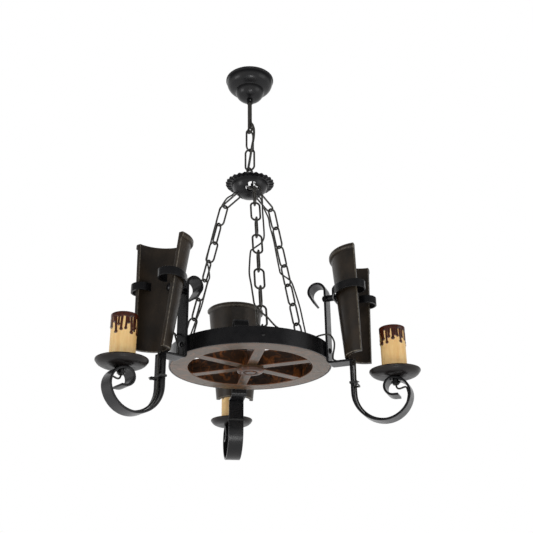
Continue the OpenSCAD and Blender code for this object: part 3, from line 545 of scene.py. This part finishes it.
staple_bend, staple_wire = 4.6, 1.5
crest = eye_top + staple_wire + 0.6 - staple_bend
over = [(staple_bend * math.cos(t), 0, crest + staple_bend * math.sin(t)) for t in np.linspace(math.pi, 0, 17)]
staple = np.vstack([[(-staple_bend, 0, z) for z in (17.5, 22, 26)], over,
                    [(staple_bend, 0, z) for z in (26, 22, 17.5)]])
eyes = skin("wire_staples", [swung(sheath(staple, staple_wire) + [eye_r, 0, 0], b) for b in chain_at.values()])
fit(eyes, wire_iron, "black_iron", "wheel_assembly", "chain_eyes")


# ---- Wheel: iron band and its rivets ----
# A hoop of 3 mm flat iron shrunk on to the wooden rim, and held by three domed rivets.
hoop, _ = eased([(rim_r + 0.15, 0), (wheel_r, 0), (wheel_r, band_h), (rim_r + 0.15, band_h)], 0.5)
band = skin("iron_band", [swung(spun(hoop, 240), 0)], ring=True)
fit(band, iron, "black_iron", "wheel_assembly", "wheel_band")


def studs(outline, bearings, height, sides=32):
    """A spun stud, laid on its side to point outwards at each bearing."""
    x, y, z = np.moveaxis(spun(np.asarray(outline, float), sides), -1, 0)
    return [swung(np.stack([z, y, height - x], -1), b) for b in bearings]


dome = np.vstack([[(0.1, 130), (1.5, 130), (1.5, 150.1), (3.4, 150.15)], arc(0, 150.15, 3.46, 2, 8, 88, 8)])
rivets = skin("band_rivet_heads", studs(dome, chain_at.values(), band_h / 2))
fit(rivets, iron, "black_iron", "wheel_assembly", "band_rivets")


# ---- Wheel: felloes, spokes and hub ----
# Beech stained red-brown and lacquered. Six felloes make the rim, six square-edged spokes run to a core,
# and a turned disc with a beaded centre covers the core below.
def board_grain():
    """Wood seen along its own axes: X runs with the grain. Gives growth bands from stretched, bent noise and
    fibres from finer, longer noise."""
    group = bpy.data.node_groups.new("board_grain", "ShaderNodeTree")
    group.interface.new_socket("Vector", in_out="INPUT", socket_type="NodeSocketVector")
    group.interface.new_socket("Bands", in_out="OUTPUT", socket_type="NodeSocketFloat")
    group.interface.new_socket("Fibres", in_out="OUTPUT", socket_type="NodeSocketFloat")
    given, out = group.nodes.new("NodeGroupInput"), group.nodes.new("NodeGroupOutput")
    wide = place(group, "ShaderNodeMapping", {"Vector": given.outputs[0], "Scale": (0.16, 1.0, 1.0)})
    long = place(group, "ShaderNodeMapping", {"Vector": given.outputs[0], "Scale": (0.03, 1.0, 1.0)})
    bands = noise(group, wide.outputs[0], 95, 3, 0.55, 1.4)
    group.links.new(ranged(group, bands, 0.32, 0.68), out.inputs[0])
    group.links.new(noise(group, long.outputs[0], 900, 3, 0.6), out.inputs[1])
    return group


grain_group = board_grain()


def stained(name, dark, mid, flame):
    """Stained wood: dark growth bands, an orange flame where the stain took less, dark fibres, a redder edge
    line that is partly wear and partly a painted edge highlight, and a paler, greyer underside that is a
    painted reflection of the floor, under a clear coat."""
    material, tree, shader, spot = finish(name, Specular_IOR_Level=0.25, Coat_Weight=0.4, Coat_Roughness=0.14)
    board = place(tree, "ShaderNodeAttribute", attribute_name="board").outputs["Vector"]
    edge_mark = place(tree, "ShaderNodeAttribute", attribute_name="edge").outputs["Fac"]
    grain = place(tree, "ShaderNodeGroup", node_tree=grain_group)
    tree.links.new(board, grain.inputs[0])
    bands, fibres = grain.outputs
    shade = between(tree, bands, dark, mid)
    blotch = noise(tree, spot, 60, 4, 0.65, 0.8)
    shade = between(tree, ranged(tree, blotch, 0.5, 0.74), shade, flame)
    shade = between(tree, ranged(tree, fibres, 0.56, 0.74, 0, 0.75), shade, dark)
    # Partly wear and partly a painted highlight: the eased edges are mixed towards orange-brown.
    shade = between(tree, ranged(tree, edge_mark, 0, 1, 0, 0.6), shade, tint(118, 66, 30))
    # Painted reflection: faces level with the wheel's underside are mixed up to halfway towards pale taupe,
    # standing in for the floor seen in the coat. The hub's lower disc is left out.
    low = place(tree, "ShaderNodeSeparateXYZ", {0: spot}).outputs[2]
    below = ranged(tree, low, (wheel_z + 0.9) / 1000, (wheel_z + 0.3) / 1000)
    above = ranged(tree, low, (wheel_z - 3) / 1000, (wheel_z - 1) / 1000, 0, 0.5)
    under = place(tree, "ShaderNodeMath", {0: below, 1: above}, operation="MULTIPLY")
    shade = between(tree, under.outputs[0], shade, tint(98, 78, 52))
    feed(tree, shader, Base_Color=shade, Roughness=ranged(tree, fibres, 0.3, 0.7, 0.36, 0.56))
    relief(tree, shader, fibres, 0.00022)
    return material


beech = stained("stained_beech", tint(22, 12, 7), tint(56, 36, 21), tint(138, 78, 30))


def strip(stations, outline, ends=0.0):
    """A profile carried along stations of [u, v, heading]. A profile point [o, w] lies o to the left of the
    path and w across its plane: (u - o sin h, v + o cos h, w). Rounded ends shrink the profile over a quarter
    circle."""
    st = np.asarray(stations, float)
    shrink = np.zeros(len(st))
    if ends:
        f = np.radians([90, 60, 30, 0])
        slide, small = ends * (1 - np.sin(f)), ends * (1 - np.cos(f))
        way = np.stack([np.cos(np.radians(st[:, 2])), np.sin(np.radians(st[:, 2])), 0 * st[:, 2]], 1)
        head = st[0] + slide[:, None] * way[0]
        tail = (st[-1] - slide[:, None] * way[-1])[::-1]
        st = np.vstack([head, st[1:-1], tail])
        shrink = np.concatenate([small, np.zeros(len(st) - 8), small[::-1]])
    h = np.radians(st[:, 2])[:, None]
    half = np.abs(outline).max(0)
    o = outline[:, 0][None] * (1 - shrink[:, None] / half[0])
    w = outline[:, 1][None] * (1 - shrink[:, None] / half[1])
    return np.stack([st[:, :1] - o * np.sin(h), st[:, 1:2] + o * np.cos(h), w], -1)


felloe_r, felloe_t, felloe_w = 131.0, 16.0, 14.5
felloe_outline, felloe_mark = eased([(-felloe_t, -felloe_w), (felloe_t, -felloe_w), (felloe_t, felloe_w),
                                     (-felloe_t, felloe_w)], 1.1)
felloes, boards, edges = [], [], []
for n in range(6):
    first = 60 * n + 3
    a = np.linspace(first + 0.02, first + 59.98, 40)
    path = np.stack([felloe_r * np.cos(np.radians(a)), felloe_r * np.sin(np.radians(a)), a + 90], 1)
    grid = strip(path, felloe_outline, 0.35)
    middle = math.radians(first + 30)
    along = -grid[..., 0] * math.sin(middle) + grid[..., 1] * math.cos(middle)
    across = grid[..., 0] * math.cos(middle) + grid[..., 1] * math.sin(middle)
    boards.append(np.stack([along + 400 * n, across + 170 * n, grid[..., 2]], -1))
    edges.append(np.broadcast_to(felloe_mark, grid.shape[:2]).copy())
    felloes.append(swung(grid + [0, 0, felloe_w], 0))
rim = skin("felloes", felloes, board=boards, edge=[e.ravel() for e in edges])
fit(rim, beech, "stained_wood", "wheel_assembly", "wheel_rim")

spoke_w, spoke_from, spoke_to = 9.25, 22.15, 114.85
spoke_outline, spoke_mark = eased([(-spoke_w, 0.5), (spoke_w, 0.5), (spoke_w, 28.5), (-spoke_w, 28.5)], 0.9)
for n in range(6):
    y, z = spoke_outline.T
    t = np.linspace(0, 1, 12)[:, None]
    x = (1 - t) * np.sqrt(spoke_from ** 2 - y ** 2) + t * np.sqrt(spoke_to ** 2 - y ** 2)
    grid = np.stack([x, y + 0 * x, z + 0 * x], -1)
    spoke = skin(f"beech_spoke_{n + 1}", [swung(grid, 30 + 60 * n)], board=[grid + [310 * n, 90 * n, 0]],
                 edge=[np.broadcast_to(spoke_mark, x.shape).ravel()])
    fit(spoke, beech, "stained_wood", "wheel_assembly", f"spoke_{n + 1}")

turned = [(0.2, -8.2), (3, -8.9), (8.4, -9), (9.8, -8.2), (10.4, -5.6), (12.4, -5.6), (13.4, -8), (16.4, -9),
          (21.4, -8.5), (24.2, -6.6), (25, -4.2), (25, 0.3), (22, 0.3), (22, 29), (15, 31.4), (8, 32.2),
          (0.2, 32.5)]
outline, mark = eased(turned, [0, 0, 0.8, 0.8, 0.5, 0.5, 0.8, 2, 2.4, 1.4, 1.4, 0.5, 0.3, 1, 2, 2, 0])
hub_grid = spun(outline, 96)
hub = skin("turned_hub", [swung(hub_grid, 0)], board=[hub_grid + [77, 33, 0]],
           edge=[np.repeat(mark * 0.4, 96)])
fit(hub, beech, "stained_wood", "wheel_assembly", "hub")


# ---- Arms: straps and scrolls ----
# Flat bar, 30 by 4 mm, bent cold. Each strap is screwed to the band, curls over on top and turns out into a
# shelf below, and each scroll is welded to the shelf's end and coils round under its light.
def bar_path(*parts):
    """Stations of a bent bar. A bend (centre, radius, from, to) turns about its centre, heading square to the
    radius, and a point (u, v, heading) stands alone."""
    stations = []
    for part in parts:
        if len(part) == 3:
            stations.append([part])
        else:
            centre, r, first, last = part
            a = np.linspace(first, last, max(3, int(abs(last - first) / 3)))
            sense = 90 * np.sign(last - first)
            stations.append(np.stack([centre[0] + r * np.cos(np.radians(a)),
                                      centre[1] + r * np.sin(np.radians(a)), a + sense], 1))
    return np.vstack(stations)


def on_arm(grid, arm):
    """Turns a strip in the arm's upright plane, [radius, height, across], to its arm."""
    return swung(np.stack([grid[..., 0], grid[..., 2], grid[..., 1]], -1), arm_at[arm])


def flat_bar(width, thickness, ease, guard):
    """Outline of a flat bar with eased corners."""
    w, t = width / 2, thickness / 2
    return eased([(-t, -w), (t, -w), (t, w), (-t, w)], ease, guard=guard)[0]


bar_outline = flat_bar(bar_w, bar_t, 0.8, 0.7)
curl_r, tail_run, leave, heading = 15.5, 17, math.radians(210), 300
curl = (strap_r - curl_r, 127.5)
tail = (curl[0] + curl_r * math.cos(leave) + tail_run * math.cos(math.radians(heading)),
        curl[1] + curl_r * math.sin(leave) + tail_run * math.sin(math.radians(heading)), heading)
strap_path = bar_path((192.0, -shelf_drop, 180), ((strap_r + 5, 5 - shelf_drop), 5, 270, 180),
                      (curl, curl_r, 0, 210), tail)
tip = (coil_u + 8, coil_v + 13 - 15, 0)
scroll_path = bar_path((leg_r, -shelf_drop + 2, 270), (*bends[0], 180, 270), (*bends[1], 270, 345),
                       (*bends[2], 345, 450), (*bends[3], 90, 270), tip)
for arm in arm_at:
    for kind, path in (("strap", strap_path), ("scroll", scroll_path)):
        piece = skin(f"{kind}_bar_{arm}", [on_arm(strip(path, bar_outline, 0.6), arm)])
        fit(piece, iron, "black_iron", "wheel_assembly", f"{kind}_{arm}")
dome = np.vstack([[(0.1, 126), (2.4, 126), (2.4, 154), (5, 154.35)], arc(0, 154.3, 5.2, 3, 8, 88, 8)])
screws = skin("strap_screw_heads", studs(dome, arm_at.values(), band_h / 2))
fit(screws, iron, "black_iron", "wheel_assembly", "strap_screws")


# ---- Roof tiles ----
# Half-round tapered clay tiles, one upright behind each light with its hollow side outwards. Dark brown
# satin glaze, thin and pale on the edges, over a slightly uneven hand-pressed body with a lip on top.
def glazed():
    """Dark glaze: cloudy brown-black, pooled darker and rougher in patches, pale where it broke on an edge,
    with pinholes and pale flecks."""
    material, tree, shader, spot = finish("dark_glaze", Specular_IOR_Level=0.35, Coat_Weight=0.1,
                                          Coat_Roughness=0.2)
    edge_mark = place(tree, "ShaderNodeAttribute", attribute_name="edge").outputs["Fac"]
    cloud, fine = noise(tree, spot, 28, 5, 0.6), noise(tree, spot, 260, 4)
    shade = between(tree, ranged(tree, cloud, 0.35, 0.68), tint(27, 21, 14), tint(46, 35, 22))
    shade = between(tree, fleck_mask(tree, spot, 260, 0.22), shade, tint(96, 84, 70))
    thin = place(tree, "ShaderNodeMath", {0: edge_mark, 1: ranged(tree, fine, 0.4, 0.6, 0.25, 1)},
                 operation="MULTIPLY")
    shade = between(tree, thin.outputs[0], shade, tint(112, 104, 90))
    feed(tree, shader, Base_Color=shade, Roughness=ranged(tree, cloud, 0.3, 0.7, 0.36, 0.55))
    both = place(tree, "ShaderNodeMath", {0: cloud, 1: 0.8, 2: ranged(tree, fine, 0, 1, 0, 0.15)},
                 operation="MULTIPLY_ADD")
    relief(tree, shader, both.outputs[0], 0.0008, 0.5)
    return material


glaze = glazed()
tile_z, tile_axis, tile_h = -4.2, 220.15, 199.0
low_radius, top_radius, wall = 38.4, 58.0, 7.5
tile_pose = {"back": (1, 0), "left": (10, -5.5), "right": (0, -2.8)}
taper = (top_radius - low_radius) / tile_h


def as_tile(grid, arm):
    """Turns a shape round the tile's axis and leans it, as its tile hangs, and moves it to its arm."""
    turn, rolled = (math.radians(v) for v in tile_pose[arm])
    x, y, z = np.moveaxis(grid, -1, 0)
    x, y = x * math.cos(turn) - y * math.sin(turn), x * math.sin(turn) + y * math.cos(turn)
    y, z = y * math.cos(rolled) - z * math.sin(rolled), y * math.sin(rolled) + z * math.cos(rolled)
    return swung(np.stack([x + tile_axis, y, z + tile_z], -1), arm_at[arm])


up = np.linspace(0, tile_h - 11, 24)
tile_lip = [(top_radius + 2.2, 190), (top_radius + 3, 192), (top_radius + 3, 197), (top_radius + 1.5, 199),
            (top_radius - wall, 199)]
tile_line = np.vstack([[(low_radius - wall, 0)], np.stack([low_radius + taper * up, up], 1), tile_lip,
                       np.stack([low_radius - wall + taper * up, up], 1)[:0:-1]])
radii = np.zeros(len(tile_line))
radii[:2] = 0.8
radii[len(up) + 1:len(up) + 1 + len(tile_lip)] = 0.9
tile_outline, tile_mark = eased(tile_line, radii)
tile_mark = tile_mark * np.where(tile_outline[:, 1] > tile_h / 2, 0.35, 1)
for arm in arm_at:
    a = np.radians([90, 90.25, 90.8, *np.linspace(92.4, 267.6, 46), 269.2, 269.75, 270])[:, None]
    r, z = tile_outline.T
    fade = np.sin(z * np.pi / tile_h) * np.sin(a - np.pi / 2)
    swell = 0.25 * np.sin(z / 31 + 2.2 * a + arm_at[arm]) * fade
    inset = np.zeros((len(a), 1))
    inset[[0, 1, -2, -1], 0] = [0.7, 0.2, 0.2, 0.7]
    r = r - np.abs(swell) + np.clip(low_radius - wall / 2 + taper * z - r, -inset, inset)
    z = z + np.clip(tile_h / 2 - z, -inset, inset)
    grid = np.stack([r * np.cos(a), r * np.sin(a), z], -1)
    mark = np.broadcast_to(tile_mark, grid.shape[:2]).copy()
    mark[[0, -1]], mark[[1, 2, -3, -2]] = 0, 1
    tile = skin(f"glazed_tile_{arm}", [as_tile(grid, arm)], edge=[mark.ravel()])
    fit(tile, glaze, "glazed_tile", "wheel_assembly", f"tile_{arm}")


# ---- Tile clamps ----
# A level strap of 14.5 by 3 mm iron bent round the back of each tile, with its ends curled in round the
# tile's edges. One domed bolt goes through tile, clamp, a tube spacer and the arm's strap to a nut.
clamp_z, clamp_w, clamp_t, end_r, head_r = 116.0, 14.5, 3.0, 18.5, 8.0
clamp_r = low_radius + taper * (clamp_z + clamp_w / 2 - tile_z) + 0.3 + clamp_t / 2
clamp_outline = flat_bar(clamp_w, clamp_t, 0.45, 0.6)
end_u, end_v = (clamp_r - end_r) * math.cos(math.radians(100)), (clamp_r - end_r) * math.sin(math.radians(100))
bolts, spacers = [], []
for arm, (turn, rolled) in tile_pose.items():
    aside = (tile_z - clamp_z) * math.sin(math.radians(rolled))
    wide, slim = 8 + 0.55 * aside, 8 - aside / 6
    path = bar_path(((end_u, end_v + wide), end_r, -112, 100), ((0, wide), clamp_r, 103, 180),
                    ((0, -slim), clamp_r, 180, 257), ((end_u, -end_v - slim), end_r, 260, 472))
    grid = strip(path, clamp_outline, 0.5) + [tile_axis, 0, clamp_z]
    clamp = skin(f"tile_clamp_{arm}", [swung(grid, arm_at[arm])])
    fit(clamp, iron, "black_iron", "wheel_assembly", f"clamp_{arm}")
    inner = low_radius + taper * (clamp_z - head_r - tile_z) - wall
    seat = tile_axis - math.sqrt(inner ** 2 - (aside + head_r) ** 2) + 0.3
    far = tile_axis - clamp_r - 1.8
    head = np.vstack([[(0.1, 143.65), (3, 143.65), (3, seat), (7.3, seat)],
                      arc(0, seat - 0.3, 7.48, 4.2, 6, 88, 10)])
    bolts += studs(head, [arm_at[arm]], clamp_z, 40)
    tube, _ = eased([(3.1, 154.3), (6, 154.3), (6, far), (3.1, far)], 0.3)
    spacers += studs(tube, [arm_at[arm]], clamp_z, 40)
fit(skin("clamp_bolt_heads", bolts), iron, "black_iron", "wheel_assembly", "clamp_bolts")
fit(skin("spacer_tubes", spacers, ring=True), iron, "black_iron", "wheel_assembly", "clamp_spacers")
recoat(iron, "clamp_nuts", "pan_nuts")


# ---- Drip pans and lampholders ----
# Spun iron pans with a rolled edge, clamped between each lampholder's foot and its scroll. The holders are
# black thermoplastic on a threaded nipple.
dish = np.vstack([[(0.2, 0), (24, 0)], arc(24, 11.1, 19, 11.1, -86, -12, 10),
                  [(44, 10), (44, 12.6), (42.4, 12.6), (41.8, 11.2)], arc(24, 11.3, 17, 9.6, -14, -86, 9),
                  [(23.5, 1.5), (0.2, 1.5)]])
radii = np.zeros(len(dish))
radii[[12, 13, 14]] = [0.9, 0.8, 0.7]
pan_outline, pan_mark = eased(dish, radii)
pan_iron = lacquer("pan_lacquer", tint(20, 17, 16), tint(31, 26, 24), 0.28, 0.4,
                   edge=tint(52, 42, 35), lift=0.3)
plastic, tree, shader, spot = finish("black_plastic")
fuzz = noise(tree, spot, 220, 3)
shade = between(tree, ranged(tree, fuzz, 0.35, 0.7), tint(26, 26, 26), tint(40, 40, 39))
feed(tree, shader, Base_Color=shade, Roughness=ranged(tree, fuzz, 0.3, 0.7, 0.34, 0.5))
relief(tree, shader, noise(tree, spot, 1500, 2), 0.00006)
for arm in arm_at:
    grid = spun(pan_outline, 120) + [pan_r, 0, pan_z]
    pan = skin(f"drip_pan_{arm}", [swung(grid, arm_at[arm])], edge=[np.repeat(pan_mark, 120)])
    fit(pan, pan_iron, "black_iron", "wheel_assembly", f"pan_{arm}")
    recoat(plastic, f"lampholder_{arm}")
recoat(plastic, "cable_ties", "splice_block")


# ---- Candle sleeves ----
# Moulded resin sleeves, 46 mm over the drips, in streaky ochre wax colour. Glossy brown wax has run down from
# the rim in 27 narrow drips that end in a bead.
def waxen():
    """Ochre resin with faint upright streaks, and glossy brown where the drip mark is 1."""
    material, tree, shader, spot = finish("candle_wax", Subsurface_Weight=0.06, Subsurface_Scale=0.004)
    drip = place(tree, "ShaderNodeAttribute", attribute_name="drip").outputs["Fac"]
    tall = place(tree, "ShaderNodeMapping", {"Vector": spot, "Scale": (1.0, 1.0, 0.12)}).outputs[0]
    streak, cloud = noise(tree, tall, 190, 4, 0.6), noise(tree, spot, 35, 3)
    ochre = between(tree, ranged(tree, streak, 0.3, 0.7), tint(226, 180, 112), tint(242, 206, 144))
    ochre = between(tree, ranged(tree, cloud, 0.45, 0.75, 0, 0.5), ochre, tint(218, 164, 96))
    brown = between(tree, ranged(tree, noise(tree, spot, 160, 2), 0.35, 0.7), tint(48, 17, 7), tint(78, 32, 14))
    mask = ranged(tree, drip, 0.15, 0.4)
    feed(tree, shader, Base_Color=between(tree, mask, ochre, brown),
         Roughness=ranged(tree, mask, 0, 1, 0.52, 0.24))
    relief(tree, shader, streak, 0.0002)
    return material


wax = waxen()
seat_z = pan_z + 1.65
sleeve_h, sleeve_r, bore_r, drip_t, count, around = 88.0, 21.75, 21.0, 1.25, 27, 256
for arm in arm_at:
    pick = np.random.default_rng(40 + arm_at[arm])
    where = (np.arange(count) + pick.uniform(-0.22, 0.22, count)) * 2 * np.pi / count
    length = pick.uniform(17, 38, count)
    length[pick.integers(count)] = 44
    broad = pick.uniform(1.8, 2.5, count)
    a = np.linspace(0, 2 * np.pi, around, endpoint=False)[None]
    z = np.concatenate([np.linspace(0, sleeve_h - 1, 124), sleeve_h - np.array([0.6, 0.25, 0])])[:, None]
    below_top = sleeve_h - z
    field = np.zeros((len(z), a.shape[1]))
    for at, run, half in zip(where, length, broad):
        sway = at + 0.03 * np.sin(z / 9 + at * 5)
        off = np.angle(np.exp(1j * (a - sway))) * sleeve_r
        flare, swelling = 1 + 0.5 * np.exp(-below_top / 8), 0.62 + 0.1 * np.sin(z / 5 + at)
        bead = np.exp(-((off / (half * 1.25)) ** 2 + ((below_top - run + 2) / 2.6) ** 2))
        trail = np.exp(-(off / half / flare) ** 4) * swelling / (1 + np.exp((below_top - run) / 0.5))
        field = np.maximum(field, np.maximum(trail, bead))
    collar_low = 8.5 + 2 * np.sin(3 * a) * np.cos(5 * a + arm_at[arm])
    field = np.maximum(field, 0.75 / (1 + np.exp((below_top - collar_low) / 0.7)))
    r = sleeve_r + drip_t * field - drip_t * np.clip(1 - below_top / 1.2, 0, 1) ** 2
    outside = np.stack([r * np.cos(a), r * np.sin(a), z + 0 * a], -1)
    depth = np.array([87.6, 86.8, 80, 60, 40, 20, 0.0])[:, None]
    inside = np.stack([bore_r * np.cos(a) + 0 * depth, bore_r * np.sin(a) + 0 * depth, depth + 0 * a], -1)
    grid = np.vstack([outside, inside]) + [pan_r, 0, seat_z]
    mark = np.vstack([field, np.repeat(np.array([[1.0], [1], [0.6], [0], [0], [0], [0]]), around, 1)])
    candle = skin(f"candle_sleeve_{arm}", [swung(grid, arm_at[arm])], ring=True, sharp=60,
                  drip=[mark.ravel()])
    fit(candle, wax, "candle_wax", f"candle_body_{arm}", f"candle_{arm}")


# ---- Studio ----
# A pale floor well below the light, three soft lamps, and a grey room. The camera sees the room as white, and
# glossy surfaces see it white below the horizon and behind the light, as in the photograph.
floor_mesh = bpy.data.meshes.new("floor")
side, low = 8.0, -2.3
floor_mesh.from_pydata([(-side, -side, low), (side, -side, low), (side, side, low), (-side, side, low)], [],
                       [(0, 1, 2, 3)])
floor = add("floor", floor_mesh)
pale, tree, shader, spot = finish("pale_floor", Roughness=0.8)
feed(tree, shader, Base_Color=between(tree, noise(tree, spot, 2), (0.8, 0.8, 0.8, 1), (0.83, 0.83, 0.83, 1)))
shader.inputs["Emission Color"].default_value = (1, 1, 1, 1)
ray = tree.nodes.new("ShaderNodeLightPath").outputs
feed(tree, shader, Emission_Strength=ranged(tree, ray["Is Glossy Ray"], 0, 1, 0, 0.3))
floor_mesh.materials.append(pale)

for name, spot_at, size, watts in (("key", (0.0, -1.65, -1.85), 0.5, 9), ("left", (-1.9, -0.5, -0.8), 0.7, 6),
                                   ("fill", (1.7, -1.2, -0.6), 1.2, 5)):
    lamp = bpy.data.lights.new(name, "AREA")
    lamp.size, lamp.energy = size, watts
    toward = np.array([0, 0, -0.5]) - spot_at
    toward /= np.linalg.norm(toward)
    across = np.cross(toward, [0, 0, 1])
    across /= np.linalg.norm(across)
    aim(add(name, lamp), across, np.cross(across, toward), -toward, spot_at)

world = bpy.data.worlds.new("room")
world.use_nodes = True
bpy.context.scene.world = world
tree = world.node_tree
tree.nodes.clear()
facing = place(tree, "ShaderNodeSeparateXYZ", {0: tree.nodes.new("ShaderNodeTexCoord").outputs["Generated"]})
soft = between(tree, ranged(tree, facing.outputs[2], -1, 1), (0.92, 0.92, 0.92, 1), (0.66, 0.66, 0.67, 1))
ray = tree.nodes.new("ShaderNodeLightPath").outputs
backdrop = place(tree, "ShaderNodeMath", {0: ranged(tree, facing.outputs[2], 0.3, -0.05),
                                          1: ranged(tree, facing.outputs[1], 0.45, 0.65)}, operation="MAXIMUM")
room = between(tree, backdrop.outputs[0], (0.16, 0.16, 0.165, 1), (1, 1, 1, 1))
seen = place(tree, "ShaderNodeMath", {0: ray["Is Camera Ray"], 1: ray["Is Transmission Ray"]},
             operation="MAXIMUM")
shown = between(tree, ray["Is Glossy Ray"], between(tree, seen.outputs[0], soft, (1, 1, 1, 1)), room)
glow = place(tree, "ShaderNodeBackground", {0: shown, 1: 1.0})
tree.links.new(glow.outputs[0], tree.nodes.new("ShaderNodeOutputWorld").inputs[0])
bpy.context.scene.view_settings.view_transform = "Standard"
